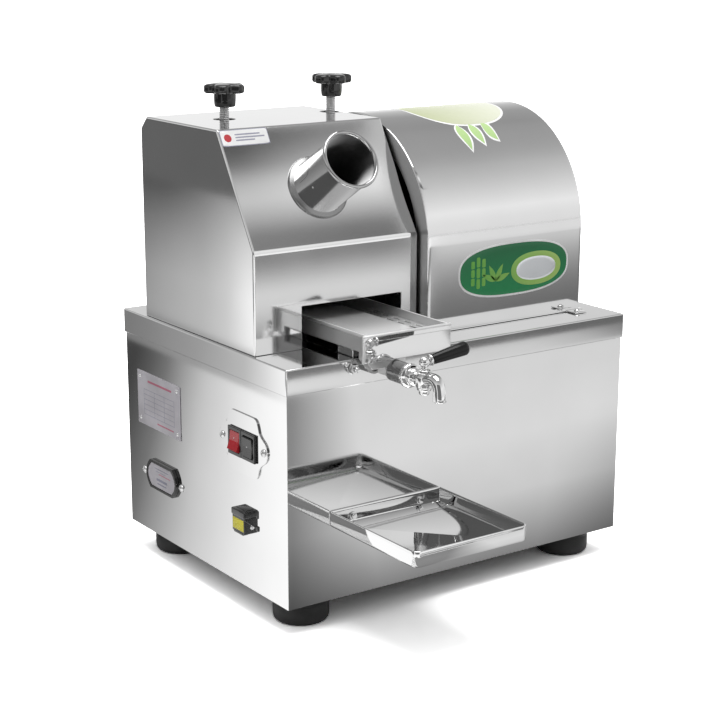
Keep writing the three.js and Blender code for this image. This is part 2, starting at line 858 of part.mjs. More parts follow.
function juicePan() {
  const wall = panSheet;
  const [x0, x1] = [panLeft + wall, panRight - wall];
  const [y0, y1] = [panFront + wall, panRear - wall];
  let pan = box(panLeft, panRight, panFront, panRear, panBottom, panRim);
  pan = pan.add(prismFront(sumpOutline(0), panFront + sumpDepth, panFront));
  pan = pan.subtract(box(x0, x1, y0, y1, panBottom + wall, panRim + 1));
  pan = pan.subtract(prismFront(sumpOutline(wall), panFront + sumpDepth - wall, panFront + wall));
  const boss = alongFront(cylinder(outletRadius, 0, outletLength + wall, 32));
  const bore = alongFront(cylinder(outletRadius - outletWall, -2, outletLength + 3 * wall, 32));
  const place = [outletX, panFront + wall, outletZ];
  return pan.add(boss.translate(place)).subtract(bore.translate(place));
}

// Front plate of the pan, with a hem along its top
function panFrontPlate() {
  const left = panLeft - panPlateLeft;
  const right = panRight + panPlateRight;
  const bottom = panRim - panFrontHeight;
  const plate = box(left, right, panFrontFace, panFrontBack, bottom, panRim + gap);
  const hemFace = panFrontFace - panHemProud;
  return plate.add(box(left, right, hemFace, panFrontBack, panRim + gap - panHem, panRim + gap));
}

function panRail() {
  return box(0, panRailWidth, worktopFront + panRailSetback, frameRear, deck, panBottom - gap);
}

// Strainer tray: a flat plate level with the pan's rim, and a lower slotted channel on its right
function strainerTray() {
  const left = panLeft + panSheet + gap;
  const right = panRight - panSheet - gap;
  const fold = left + strainerPlate;
  const front = panFront + panSheet + gap;
  const rear = front + strainerDepth;
  const top = panRim;
  const channel = top - strainerFloorDrop;
  const foot = panBottom + panSheet + gap;
  const sheet = strainerSheet;
  const shape = outline([
    [left, foot],
    [left + sheet, foot],
    [left + sheet, top - sheet],
    [fold - sheet, top - sheet],
    [fold - sheet, foot],
    [fold, foot],
    [fold, channel - sheet],
    [right - sheet, channel - sheet],
    [right - sheet, foot],
    [right, foot],
    [right, channel],
    [fold, channel],
    [fold, top],
    [left, top],
  ]);
  let tray = prismFront(shape, rear, front);
  const columnPitch = (right - fold) / (slotColumns - 1 + 2 * slotSideMargin);
  const rowPitch = strainerDepth / (slotRows - 1 + 2 * slotEndMargin);
  for (let column = 0; column < slotColumns; column += 1) {
    for (let row = 0; row < slotRows; row += 1) {
      const x = fold + (column + slotSideMargin) * columnPitch;
      const y = front + (row + slotEndMargin) * rowPitch;
      const halfX = slotWidth / 2;
      const halfY = slotLength / 2;
      tray = tray.subtract(box(x - halfX, x + halfX, y - halfY, y + halfY, foot + sheet, top));
    }
  }
  return tray;
}

// Tap body in its own frame: the plug's axis is Z, the spout points to -Y and the flange nut lies to +Y
function tapBody() {
  const half = tapBarrelHeight / 2;
  let body = cylinder(tapBarrelRadius, -half, half);
  body = body.add(alongFront(cylinder(tapNeckRadius, -tapReach - 1, 0, 24)));
  body = body.add(alongFront(cylinder(tapNutRadius, -tapReach - tapNutLength, -tapReach, 12)));
  const path = new THREE.CubicBezierCurve3(
    new THREE.Vector3(0, -spoutStart, spoutStartRise),
    new THREE.Vector3(0, -spoutReach * 0.7, spoutCrest),
    new THREE.Vector3(0, -spoutReach, spoutShoulder),
    new THREE.Vector3(0, -spoutReach, -spoutDrop),
  );
  const ring = new THREE.Shape();
  ring.absarc(0, 0, spoutRadius, 0, 2 * Math.PI, false);
  const spout = new THREE.ExtrudeGeometry(ring, { steps: 10, extrudePath: path, curveSegments: 8 });
  body = body.add(solid(spout));
  const bore = cylinder(spoutBore, -spoutDrop - 1, -spoutDrop + spoutBoreDepth, 16);
  body = body.subtract(bore.translate([0, -spoutReach, 0]));
  return body.subtract(cylinder(tapPlugRadius + gap, -half - 1, half + 1, 16));
}

// Plug with its cap nut below and a stem and ball above, about its own axis
function tapPlug() {
  const half = tapBarrelHeight / 2;
  const turned = spin([
    [0, -half - gap - tapCapHeight],
    [tapCapRadius - 1.5, -half - gap - tapCapHeight],
    [tapCapRadius, -half - gap - tapCapHeight + 1.5],
    [tapCapRadius, -half - gap],
    [tapPlugRadius, -half - gap],
    [tapPlugRadius, half + gap],
    [tapPlugRadius - 1.2, half + gap + 1],
    [tapPlugRadius - 1.2, tapBallRise],
    [0, tapBallRise],
  ], 16);
  const ball = solid(new THREE.SphereGeometry(tapBallRadius, 14, 9)).translate([0, 0, tapBallRise]);
  return turned.add(ball);
}

// Black lever grip, from the ball outward to the right and a little up
function tapLever() {
  const start = tapBallRadius + gap;
  const grip = alongX(spin([
    [0, start],
    [leverSmall, start],
    [leverLarge, start + leverLength - 4],
    [leverLarge - 2, start + leverLength],
    [0, start + leverLength],
  ], 20));
  return turned(grip, 0, -Math.atan2(leverRise, leverLength), 0);
}

// Hexagon bolt along -Y, its head outside and its shank behind
function bolt(headRadius, headLength, shankLength) {
  const head = cylinder(headRadius, 0, headLength, 6);
  const shank = cylinder(boltShankRadius, -shankLength, 1, 16);
  return alongFront(head.add(shank));
}

function trayBoltPlaces() {
  const middle = -worktopWidth / 2 + trayInset + trayWidth / 2;
  return [middle - trayBoltSpacing / 2, middle + trayBoltSpacing / 2];
}

// Cup tray, bolted to the cabinet's front through its rear wall
function cupTray() {
  const left = -worktopWidth / 2 + trayInset;
  const right = left + trayWidth;
  const rear = frontFace;
  const front = rear - trayDepth;
  const bottom = trayRimHeight - trayHeight;
  const wall = traySheet;
  let tray = box(left, right, front, rear, bottom, trayRimHeight);
  const [x0, x1] = [left + wall, right - wall];
  const [y0, y1] = [front + wall, rear - wall];
  tray = tray.subtract(box(x0, x1, y0, y1, bottom + wall, trayRimHeight + 1));
  for (const x of trayBoltPlaces()) {
    const hole = alongFront(cylinder(boltShankRadius + gap, -4, 4, 16));
    tray = tray.subtract(hole.translate([x, rear, trayRimHeight - trayBoltDrop]));
  }
  return tray;
}

// Sizes of one switch's body behind its bezel
function bodyWidth() {
  return rockerWidth + 2 * gap + 2 * rockerWall;
}

function bodyHeight() {
  return 2 * (rockerRadius + gap + rockerWall);
}

function switchPlaces() {
  const middle = worktopFront + switchSetback;
  const half = bezelWidth / 2 + gap / 2;
  return [middle + half, middle - half];
}

// Steel plate behind the switches, with round shoulders and an ear that swells out on each side
function switchPlateOutline() {
  const halfY = switchPlateHalfWidth;
  const halfZ = switchPlateHalfHeight;
  const reach = switchEarReach;
  const flat = halfY - switchShoulderRun;
  const shoulder = halfZ - switchShoulderDrop;
  const soft = switchShoulderSoft;
  const neck = switchNeckPull;
  const swell = switchEarPull;
  const shape = new THREE.Shape();
  shape.moveTo(flat, halfZ);
  shape.bezierCurveTo(halfY - soft, halfZ, halfY - 2, halfZ - 2 * soft, halfY, shoulder);
  shape.bezierCurveTo(halfY + soft, neck, reach, swell, reach, 0);
  shape.bezierCurveTo(reach, -swell, halfY + soft, -neck, halfY, -shoulder);
  shape.bezierCurveTo(halfY - 2, 2 * soft - halfZ, halfY - soft, -halfZ, flat, -halfZ);
  shape.lineTo(-flat, -halfZ);
  shape.bezierCurveTo(soft - halfY, -halfZ, 2 - halfY, 2 * soft - halfZ, -halfY, -shoulder);
  shape.bezierCurveTo(-halfY - soft, -neck, -reach, -swell, -reach, 0);
  shape.bezierCurveTo(-reach, swell, -halfY - soft, neck, -halfY, shoulder);
  shape.bezierCurveTo(2 - halfY, halfZ - 2 * soft, soft - halfY, halfZ, -flat, halfZ);
  shape.lineTo(flat, halfZ);
  return shape;
}

function switchPlate() {
  const x0 = sideFace - switchPlateThickness;
  let plate = prismX(switchPlateOutline(), x0, sideFace);
  plate = plate.translate([0, worktopFront + switchSetback, switchHeight]);
  for (const y of switchPlaces()) {
    const hole = sideHole(y, switchHeight, bodyWidth() + 2 * gap, bodyHeight() + 2 * gap);
    plate = plate.subtract(hole.translate([-2, 0, 0]));
  }
  return plate;
}

// One switch's frame in its own frame: the plate's face is x = 0, and the bezel lies in -X
function switchBezel() {
  const halfY = bodyWidth() / 2;
  const halfZ = bodyHeight() / 2;
  const [rimY, rimZ] = [bezelWidth / 2, bezelHeight / 2];
  let frame = box(-bezelThickness, 0, -rimY, rimY, -rimZ, rimZ);
  frame = frame.add(box(-1, bezelBodyDepth, -halfY, halfY, -halfZ, halfZ));
  const windowY = rockerWidth / 2 + gap;
  const windowZ = rockerRadius + gap;
  return frame.subtract(box(-bezelThickness - 1, bezelBodyDepth - 2, -windowY, windowY, -windowZ, windowZ));
}

// Rocker in its own frame: it pivots on the Y axis, and its face looks to -X
function rocker(tilt) {
  const edge = THREE.MathUtils.degToRad(rockerEdge);
  const shape = new THREE.Shape();
  const reach = [rockerRadius * Math.sin(edge), rockerRadius * Math.cos(edge)];
  shape.moveTo(-reach[0], -reach[1]);
  shape.absarc(0, 0, rockerRadius, Math.PI * 1.5 - edge, Math.PI * 1.5 + edge * 2, false);
  shape.absarc(0, 0, rockerRadius, Math.PI * 0.5 - edge * 2, Math.PI * 0.5 + edge, false);
  shape.lineTo(-reach[0] * rockerHollow, 0);
  const body = prismFront(shape, rockerWidth / 2, -rockerWidth / 2);
  return turned(body, 0, THREE.MathUtils.degToRad(tilt), 0);
}

// Power inlet: a block that stands out of the panel, with a socket in its underside
function powerInlet() {
  const halfY = inletWidth / 2;
  const halfZ = inletBodyHeight / 2;
  let block = box(-inletProud, 0, -halfY, halfY, -halfZ, halfZ);
  const [neckY, neckZ] = [halfY - inletStep, halfZ - inletStep];
  block = block.add(box(-1, inletBehind, -neckY, neckY, -neckZ, neckZ));
  const x0 = (-inletProud - inletSocketDepth) / 2;
  const x1 = x0 + inletSocketDepth;
  const half = inletSocketWidth / 2;
  return block.subtract(box(x0, x1, -half, half, -halfZ - 1, -halfZ + inletSocketRise));
}

// Level gauge outline: straight top and bottom, with bulged sides
function gaugeOutline(inset) {
  const halfY = gaugeHalfWidth - inset;
  const halfZ = gaugeHalfHeight - inset;
  const shape = new THREE.Shape();
  shape.moveTo(-halfY, -halfZ);
  shape.lineTo(halfY, -halfZ);
  shape.quadraticCurveTo(halfY + 2 * gaugeBulge, 0, halfY, halfZ);
  shape.lineTo(-halfY, halfZ);
  shape.quadraticCurveTo(-halfY - 2 * gaugeBulge, 0, -halfY, -halfZ);
  return shape;
}

function gaugeBezel() {
  let bezel = prismX(gaugeOutline(0), -gaugeProud, 0);
  const recess = -gaugeProud + gaugeFaceThickness + 1;
  bezel = bezel.subtract(prismX(gaugeOutline(gaugeRim), -gaugeProud - 1, recess));
  const halfY = gaugeHalfWidth - gaugeStep;
  const halfZ = gaugeHalfHeight - gaugeStep;
  return bezel.add(box(-1, gaugeBodyDepth, -halfY, halfY, -halfZ, halfZ));
}

function gaugeFace() {
  const back = -gaugeProud + gaugeFaceThickness + 1 - gap;
  return prismX(gaugeOutline(gaugeRim + gap), back - gaugeFaceThickness, back);
}

function ratingPlate() {
  return box(-ratingThickness, 0, -ratingWidth / 2, ratingWidth / 2, -ratingRise / 2, ratingRise / 2);
}

// Battery with two terminals on its top
function battery() {
  const halfX = batteryWidth / 2;
  const halfY = batteryDepth / 2;
  let pack = box(-halfX, halfX, -halfY, halfY, 0, batteryHeight);
  for (const side of [-1, 1]) {
    const place = [side * (halfX - terminalInset), terminalSetback - halfY, batteryHeight];
    pack = pack.add(cylinder(terminalRadius, -1, terminalRise, 20).translate(place));
  }
  return pack;
}

// Cabinet
add('cabinet_shell', cabinetShell(), 'steel');
add('base_plate', basePlate(), 'steel');
add('rear_panel', rearPanel(), 'steel');
add('worktop', worktop(), 'steel');
const footX = worktopWidth / 2 - footInset;
const footY = worktopDepth / 2 - footInset;
add('foot_front_left', foot(), 'rubber', [-footX, -footY, 0]);
add('foot_front_right', foot(), 'rubber', [footX, -footY, 0]);
add('foot_rear_left', foot(), 'rubber', [-footX, footY, 0]);
add('foot_rear_right', foot(), 'rubber', [footX, footY, 0]);
const baseTop = cabinetBottom + cabinetSheet + gap + basePlateThickness;
add('battery', battery(), 'black', [0, 0, baseTop + gap]);

// Hoods
add('roller_housing', rollerHousing(), 'steel');
add('arched_cover', archedCover(), 'steel');
add('bagasse_chute', bagasseChute(), 'steel');
const feed = new THREE.Group();
feed.position.set(...feedPlace);
feed.rotation.x = slopeAngle;
machine.add(feed);
add('feed_tube', feedTube(), 'steel', [0, 0, 0], feed);
add('feed_tube_collar', feedCollar(), 'steel', [0, 0, 0], feed);

// Side frames and bearings
add('left_side_frame', sideFrame(leftFrameInner, leftFrameOuter), 'iron');
add('right_side_frame', sideFrame(rightFrameInner, rightFrameOuter), 'iron');
add('left_frame_cap', frameCap(leftFrameMiddle, leftFrameThickness), 'iron');
add('right_frame_cap', frameCap(rightFrameMiddle, rightFrameThickness), 'iron');
for (const [side, thickness, x] of [
  ['left', leftFrameThickness, leftFrameOuter],
  ['right', rightFrameThickness, rightFrameInner],
]) {
  add(`front_roller_${side}_bush`, bush(thickness), 'bronze', [x, frontRollerY, lowerAxis]);
  add(`rear_roller_${side}_bush`, bush(thickness), 'bronze', [x, rearRollerY, lowerAxis]);
}
add('left_bearing_block', bearingBlock(leftFrameThickness), 'bronze', [leftFrameMiddle, rollerY, topAxis]);
add('right_bearing_block', bearingBlock(rightFrameThickness), 'bronze', [rightFrameMiddle, rollerY, topAxis]);
add('trash_plate', trashPlate(), 'steel');

// Rollers and gears
const topPhase = 0;
const toFront = Math.atan2(lowerAxis - topAxis, frontRollerY - rollerY);
const toRear = Math.atan2(lowerAxis - topAxis, rearRollerY - rollerY);
const toPinion = Math.atan2(pinionZ - lowerAxis, pinionY - rearRollerY);
const frontPhase = meshedPhase(topPhase, rollerTeeth, rollerTeeth, toFront);
const rearPhase = meshedPhase(topPhase, rollerTeeth, rollerTeeth, toRear);
const pinionPhase = meshedPhase(0, driveTeeth, pinionTeeth, toPinion);
const rollerGear = (phase) => gear(rollerTeeth, rollerModule, phase, rollerGearWidth, shaftRadius + gap);
add('top_roller', roller(gearRight), 'brushed', [0, rollerY, topAxis]);
add('front_roller', roller(gearRight), 'brushed', [0, frontRollerY, lowerAxis]);
add('rear_roller', roller(driveRight), 'brushed', [0, rearRollerY, lowerAxis]);
add('top_roller_gear', rollerGear(topPhase), 'iron', [gearLeft, rollerY, topAxis]);
add('front_roller_gear', rollerGear(frontPhase), 'iron', [gearLeft, frontRollerY, lowerAxis]);
add('rear_roller_gear', rollerGear(rearPhase), 'iron', [gearLeft, rearRollerY, lowerAxis]);
const driveGear = gear(driveTeeth, driveModule, 0, driveGearWidth, shaftRadius + gap);
add('drive_gear', driveGear, 'iron', [driveLeft, rearRollerY, lowerAxis]);
add('motor_pinion', motorPinion(pinionPhase), 'iron', [0, pinionY, pinionZ]);
add('gearbox', gearbox(), 'iron');
add('motor', motor(), 'blue', [0, pinionY, deck + motorRadius]);

// Pressure screws
const leftKnobHeight = worktopHeight + leftKnobRise;
const rightKnobHeight = worktopHeight + rightKnobRise;
add('left_pressure_screw', screwRod(leftKnobHeight), 'brushed', [leftFrameMiddle, rollerY, 0]);
add('right_pressure_screw', screwRod(rightKnobHeight), 'brushed', [rightFrameMiddle, rollerY, 0]);
add('left_star_knob', starKnob(), 'black', [leftFrameMiddle, rollerY, leftKnobHeight]);
add('right_star_knob', starKnob(), 'black', [rightFrameMiddle, rollerY, rightKnobHeight]);

// Juice pan and tap
add('juice_pan', juicePan(), 'steel');
add('pan_front_plate', panFrontPlate(), 'steel');
add('strainer_tray', strainerTray(), 'steel');
add('left_pan_rail', panRail(), 'steel', [panLeft, 0, 0]);
add('right_pan_rail', panRail(), 'steel', [panRight - panRailWidth, 0, 0]);
const tap = new THREE.Group();
tap.position.set(outletX, tapY, outletZ);
machine.add(tap);
add('tap_body', tapBody(), 'chrome', [0, 0, 0], tap);
add('tap_plug', tapPlug(), 'chrome', [0, 0, 0], tap);
add('tap_lever', tapLever(), 'black', [0, 0, tapBallRise], tap);

// Bolts and the cup tray
const skirtBoltX = -worktopWidth / 2 + skirtBoltInset;
const skirtBolt = alongFront(cylinder(boltHeadRadius, 0, skirtBoltLength, 6));
add('skirt_bolt', skirtBolt, 'chrome', [skirtBoltX, worktopFront - gap, worktopHeight - skirtBoltDrop]);
add('cup_tray', cupTray(), 'steel');
const trayBolts = trayBoltPlaces();
const trayBoltY = frontFace - traySheet - gap;
const trayBoltZ = trayRimHeight - trayBoltDrop;
const trayBolt = () => bolt(trayBoltRadius, trayBoltHead, trayBoltShank);
add('cup_tray_bolt_left', trayBolt(), 'chrome', [trayBolts[0], trayBoltY, trayBoltZ]);
add('cup_tray_bolt_right', trayBolt(), 'chrome', [trayBolts[1], trayBoltY, trayBoltZ]);

// Left side panel
const switches = switchPlaces();
const switchFace = sideFace - switchPlateThickness - gap;
add('switch_plate', switchPlate(), 'steel');
add('red_switch_bezel', switchBezel(), 'black', [switchFace, switches[0], switchHeight]);
add('black_switch_bezel', switchBezel(), 'black', [switchFace, switches[1], switchHeight]);
add('red_rocker', rocker(rockerSwing), 'red', [switchFace, switches[0], switchHeight]);
add('black_rocker', rocker(0), 'black', [switchFace, switches[1], switchHeight]);
add('power_inlet', powerInlet(), 'black', [sideFace, worktopFront + inletSetback, inletHeight]);
add('gauge_bezel', gaugeBezel(), 'black', [sideFace, worktopFront + gaugeSetback, gaugeHeight]);
add('gauge_face', gaugeFace(), 'pale', [sideFace, worktopFront + gaugeSetback, gaugeHeight]);
add('rating_plate', ratingPlate(), 'pale', [sideFace, worktopFront + ratingSetback, ratingHeight]);

// The origin is the middle of the whole machine's floor outline
machine.updateMatrixWorld(true);
const bounds = new THREE.Box3().setFromObject(machine, true);
const middle = bounds.getCenter(new THREE.Vector3());
machine.position.set(-middle.x, -middle.y, -bounds.min.z);

export default machine;
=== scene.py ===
"""Looks of the desktop sugarcane juicer: its dressed pieces, materials, studio and camera."""
import json
import math
import bmesh
import bpy
from mathutils import Matrix, Vector


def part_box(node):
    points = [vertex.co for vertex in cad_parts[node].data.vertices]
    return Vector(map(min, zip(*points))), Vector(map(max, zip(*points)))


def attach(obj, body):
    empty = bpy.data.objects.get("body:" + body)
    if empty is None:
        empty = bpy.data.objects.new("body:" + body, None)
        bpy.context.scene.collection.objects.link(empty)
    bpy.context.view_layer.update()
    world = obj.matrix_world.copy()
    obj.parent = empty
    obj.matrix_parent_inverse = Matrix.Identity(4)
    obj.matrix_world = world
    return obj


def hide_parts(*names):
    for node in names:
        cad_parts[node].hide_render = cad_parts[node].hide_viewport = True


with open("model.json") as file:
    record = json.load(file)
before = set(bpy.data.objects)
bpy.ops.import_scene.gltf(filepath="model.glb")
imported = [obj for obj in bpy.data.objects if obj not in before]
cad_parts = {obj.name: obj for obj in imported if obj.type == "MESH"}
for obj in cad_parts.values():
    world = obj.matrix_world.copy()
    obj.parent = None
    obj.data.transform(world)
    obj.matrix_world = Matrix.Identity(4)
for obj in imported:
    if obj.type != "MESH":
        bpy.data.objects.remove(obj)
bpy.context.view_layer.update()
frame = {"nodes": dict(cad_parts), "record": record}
nodes = frame["nodes"]
scene = bpy.context.scene
MM = 0.001

# The worktop's centre at floor level is the zero of the machine's own millimetre frame
top_low, top_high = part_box("worktop")
ZERO = (top_low + top_high) / 2
ZERO.z = 0
TO_ROW = Matrix.Translation(ZERO) @ Matrix.Diagonal((MM, MM, MM, 1))


def at(x, y, z):
    """A point given in machine millimetres, in the row frame."""
    return TO_ROW @ Vector((x, y, z))


def box_of(node):
    """A node's lowest and highest corners, in machine millimetres."""
    low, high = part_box(node)
    return (low - ZERO) / MM, (high - ZERO) / MM


def middle_of(node):
    """A node's middle, in machine millimetres."""
    low, high = box_of(node)
    return (low + high) / 2


def foot_of(node):
    """The point of a node's lower face that is under its middle."""
    middle = middle_of(node)
    return Vector((middle.x, middle.y, box_of(node)[0].z))


def linked(name, data):
    obj = bpy.data.objects.new(name, data)
    scene.collection.objects.link(obj)
    return obj


# Materials

class Shader:
    """A small helper round one node tree."""

    def __init__(self, tree):
        self.nodes = tree.nodes
        self.links = tree.links

    def put(self, socket, value):
        if isinstance(value, bpy.types.NodeSocket):
            self.links.new(value, socket)
        else:
            socket.default_value = value

    def wire(self, node, **inputs):
        for key, value in inputs.items():
            self.put(node.inputs[key.replace("_", " ")], value)
        return node

    def add(self, kind, **inputs):
        return self.wire(self.nodes.new(kind), **inputs)

    def math(self, operation, a, b):
        node = self.nodes.new("ShaderNodeMath")
        node.operation = operation
        self.put(node.inputs[0], a)
        self.put(node.inputs[1], b)
        return node.outputs[0]

    def times(self, a, b):
        return self.math("MULTIPLY", a, b)

    def blend(self, factor, a, b):
        """a where the factor is 0 and b where it is 1, for plain numbers."""
        return self.add("ShaderNodeMix", Factor=factor, A=a, B=b).outputs["Result"]

    def ramp(self, factor, stops):
        node = self.nodes.new("ShaderNodeValToRGB")
        self.put(node.inputs[0], factor)
        elements = node.color_ramp.elements
        while len(elements) < len(stops):
            elements.new(0.5)
        for element, (position, colour) in zip(elements, stops):
            element.position = position
            element.color = (*colour, 1)
        return node.outputs[0]

    def span(self, factor, low, high, start=0, end=1):
        """Maps start..end to low..high, held at both ends."""
        node = self.nodes.new("ShaderNodeMapRange")
        for socket, value in zip(node.inputs, (factor, start, end, low, high)):
            self.put(socket, value)
        return node.outputs[0]

    def step(self, factor, start, end):
        """0 at the start and 1 at the end, held beyond them."""
        return self.span(factor, 0, 1, start, end)

    def places(self, scale=(1, 1, 1)):
        coords = self.nodes.new("ShaderNodeTexCoord").outputs["Object"]
        return self.add("ShaderNodeMapping", Vector=coords, Scale=scale).outputs[0]

    def noise(self, vector, scale, detail=2):
        return self.add("ShaderNodeTexNoise", Vector=vector, Scale=scale, Detail=detail).outputs[0]

    def bump(self, height, strength, distance, surface):
        bump = self.add("ShaderNodeBump", Height=height, Strength=strength, Distance=distance)
        self.wire(surface, Normal=bump.outputs[0])


def new_material(name, colour, metallic, roughness):
    material = bpy.data.materials.new(name)
    material.use_nodes = True
    material.diffuse_color = (*colour, 1)
    sh = Shader(material.node_tree)
    surface = sh.nodes["Principled BSDF"]
    sh.wire(surface, Base_Color=(*colour, 1), Metallic=metallic, Roughness=roughness)
    return material, sh, surface


def tint(colour):
    """A colour, which one number gives as a grey."""
    return (colour,) * 3 if isinstance(colour, float) else colour


# Noise scales of metal: clouds, drawn grain and slow waves
CLOUDS = 9
GRAIN = 420
SWELL = 5


def metal(name, colour, low, high, grain=(1, 1, 1), depth=0.02, waves=0, share=1):
    """Metal with cloudy roughness, drawn grain, faint tone patches and slow waves.

    A share below 1 is metal under a dull film, which keeps some plain grey of its own.
    """
    colour = tint(colour)
    material, sh, surface = new_material(name, colour, share, (low + high) / 2)
    cloud = sh.noise(sh.places(), CLOUDS, 4)
    lines = sh.noise(sh.places(grain), GRAIN)
    mixed = sh.math("ADD", sh.times(cloud, 0.7), sh.times(lines, 0.3))
    tone = sh.ramp(cloud, [(0.3, [c * 0.95 for c in colour]), (0.7, colour)])
    sh.wire(surface, Base_Color=tone, Roughness=sh.span(mixed, low, high, 0.3, 0.7))
    swell = sh.times(sh.noise(sh.places(), SWELL), waves)
    sh.bump(sh.math("ADD", sh.times(lines, depth), swell), 1, 0.0002, surface)
    return material


def plastic(name, colour, low, high, grain=0.15, scale=900, coat=0, gloss=0.5):
    """Plastic or rubber with a fine pebble and slightly uneven gloss."""
    colour = tint(colour)
    material, sh, surface = new_material(name, colour, 0, (low + high) / 2)
    cloud = sh.noise(sh.places(), 30, 3)
    tone = sh.ramp(cloud, [(0.35, colour), (0.7, [min(1, c * 1.25 + 0.004) for c in colour])])
    sh.wire(surface, Base_Color=tone, Roughness=sh.span(cloud, low, high, 0.3, 0.7))
    sh.wire(surface, Coat_Weight=coat, Specular_IOR_Level=gloss)
    sh.bump(sh.noise(sh.places(), scale), grain, 0.0002, surface)
    return material


def printed(name, low_colour, high_colour, axis, start, end):
    """Printed film that shades from one colour to another between two places on an axis."""
    material, sh, surface = new_material(name, low_colour, 0, 0.25)
    parts = sh.add("ShaderNodeSeparateXYZ", Vector=sh.places())
    along = sh.step(parts.outputs[axis], at(start, start, start)[axis], at(end, end, end)[axis])
    speck = sh.times(sh.noise(sh.places(), 160), 0.12)
    factor = sh.math("ADD", along, sh.math("SUBTRACT", speck, 0.06))
    sh.wire(surface, Base_Color=sh.ramp(factor, [(0, low_colour), (1, high_colour)]))
    sh.bump(sh.noise(sh.places(), 700), 0.03, 0.0001, surface)
    return material


STEEL = metal("polished_sheet", 0.75, 0.035, 0.06, (30, 30, 1), 0.004, waves=0.05)
HOOD = metal("hood_sheet", 0.74, 0.05, 0.08, (30, 1, 1), 0.006, waves=0.05)
SLOPE = metal("slope_sheet", 0.74, 0.06, 0.09, (30, 1, 1), waves=0.05)
# Satin steel for the cover's end flange, its darker grey partly painted shade on the end wall
FLANGE_SHADE = metal("flange_sheet_painted_shade", 0.42, 0.3, 0.4, (1, 30, 30))
TUBE = metal("tube_sheet", 0.46, 0.08, 0.12, (30, 30, 1), 0.01)
# Near-black steel for the inside of the feed tube: painted shade in the bore
BORE_SHADE = metal("tube_bore_painted_shade", 0.07, 0.25, 0.35, (30, 30, 1))
# Dark steel for the collar: painted shade round the feed tube's foot
COLLAR_SHADE = metal("collar_steel_painted_shade", 0.26, 0.2, 0.3, (1, 1, 30))
PAN = metal("pan_sheet", 0.76, 0.2, 0.28, (1, 20, 1), 0.03, share=0.5)
PLATE = metal("pan_plate_sheet", 0.82, 0.03, 0.05, (1, 1, 30), 0.004, waves=0.04, share=0.85)
TRIM = metal("trim_edge", 0.85, 0.3, 0.4, (1, 1, 30), share=0.6)
SATIN = metal("satin_steel", 0.58, 0.25, 0.38, (1, 1, 30), 0.06)
CHROME = metal("chrome_plate", 0.74, 0.02, 0.05, depth=0.005)
SCREW = metal("screw_head", 0.8, 0.12, 0.2, depth=0.01, share=0.7)
THREAD = metal("screw_steel", 0.62, 0.25, 0.35, depth=0.01)
# Near-black, rough metal for the base plate: painted shade, so that the cabinet's underside stays dark
UNDERSIDE_SHADE = metal("underside_painted_shade", 0.05, 0.5, 0.65, depth=0.05, share=0.4)
BOSS = metal("boss_steel", 0.34, 0.2, 0.3, (1, 30, 1))
IRON = metal("cast_iron", 0.12, 0.45, 0.6, depth=0.3)
BRONZE = metal("bearing_bronze", (0.55, 0.4, 0.19), 0.3, 0.45, (30, 1, 1), 0.1)
BLACK = plastic("black_plastic", 0.01, 0.16, 0.26, 0.05, coat=0.3)
LEVER = plastic("lever_plastic", 0.005, 0.2, 0.28, 0.02, coat=0.2, gloss=0.15)
KNOB = plastic("knob_plastic", 0.008, 0.18, 0.24, 0.02, coat=0.8, gloss=0.2)
BATTERY = plastic("battery_plastic", 0.02, 0.4, 0.55)
RUBBER = plastic("rubber", 0.016, 0.5, 0.7, 0.4, 700)
RED = plastic("red_plastic", (0.5, 0.02, 0.03), 0.2, 0.3, 0.04, coat=0.3)
PALE = plastic("pale_panel", (0.6, 0.58, 0.62), 0.3, 0.4, 0.05)
YELLOW = plastic("yellow_label", (0.8, 0.72, 0.06), 0.4, 0.5, 0.05)
PAINT = plastic("blue_paint", (0.03, 0.08, 0.17), 0.3, 0.45, 0.2, 300)
WHITE = plastic("white_film", 0.78, 0.25, 0.35, 0.02)
LINE_GREY = plastic("grey_print", (0.3, 0.3, 0.38), 0.3, 0.4, 0.02)
SIGNAL = plastic("signal_red_print", (0.45, 0.03, 0.04), 0.3, 0.4, 0.02)
LINE_RED = plastic("red_print", (0.55, 0.16, 0.24), 0.3, 0.4, 0.02)
DARK_GREEN = printed("dark_green_film", (0, 0.24, 0.07), (0, 0.13, 0.04), 2, 332, 396)
LIGHT_GREEN = printed("light_green_film", (0.1, 0.42, 0.05), (0.42, 0.62, 0.16), 0, 30, 190)
PALE_GREEN = printed("pale_green_film", (0.3, 0.52, 0.17), (0.48, 0.66, 0.3), 2, 470, 530)
OLIVE = printed("olive_film", (0.46, 0.5, 0.3), (0.72, 0.74, 0.62), 0, 40, 176)
SILVER = metal("silver_film", (0.7, 0.72, 0.74), 0.2, 0.3, (20, 1, 1), 0.05)
MATERIALS = {
    "polished_steel": STEEL, "satin_steel": SATIN, "chrome": CHROME, "dark_iron": IRON, "bronze": BRONZE,
    "black_plastic": BLACK, "battery_case": BATTERY, "rubber": RUBBER, "red_plastic": RED,
    "pale_panel": PALE, "motor_paint": PAINT,
}
SLOTS = {part["node"]: part["material_slot"] for part in frame["record"]["subparts"]}
for node_name, node_object in nodes.items():
    node_object.data.materials.clear()
    node_object.data.materials.append(MATERIALS[SLOTS[node_name]])
BODIES = frame["record"]["behaviour"]["bodies"]
BODY_OF = {member: body for body, members in BODIES.items() for member in members}


# Mesh helpers: shapes are built in machine millimetres and turned to the row frame at the end

# Edges sharper than this many degrees are shaded sharp
SHARP = 32


def register(name, bm, material, body, replaced, angle):
    """A piece that rides on a body, and stands for the nodes it replaces."""
    mesh = bpy.data.meshes.new(name)
    bmesh.ops.recalc_face_normals(bm, faces=bm.faces)
    bm.to_mesh(mesh)
    bm.free()
    mesh.shade_smooth()
    mesh.set_sharp_from_angle(angle=math.radians(angle))
    obj = linked(name, mesh)
    for one in material if isinstance(material, list) else [material]:
        mesh.materials.append(one)
    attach(obj, body)
    if replaced:
        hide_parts(*replaced)
    return obj


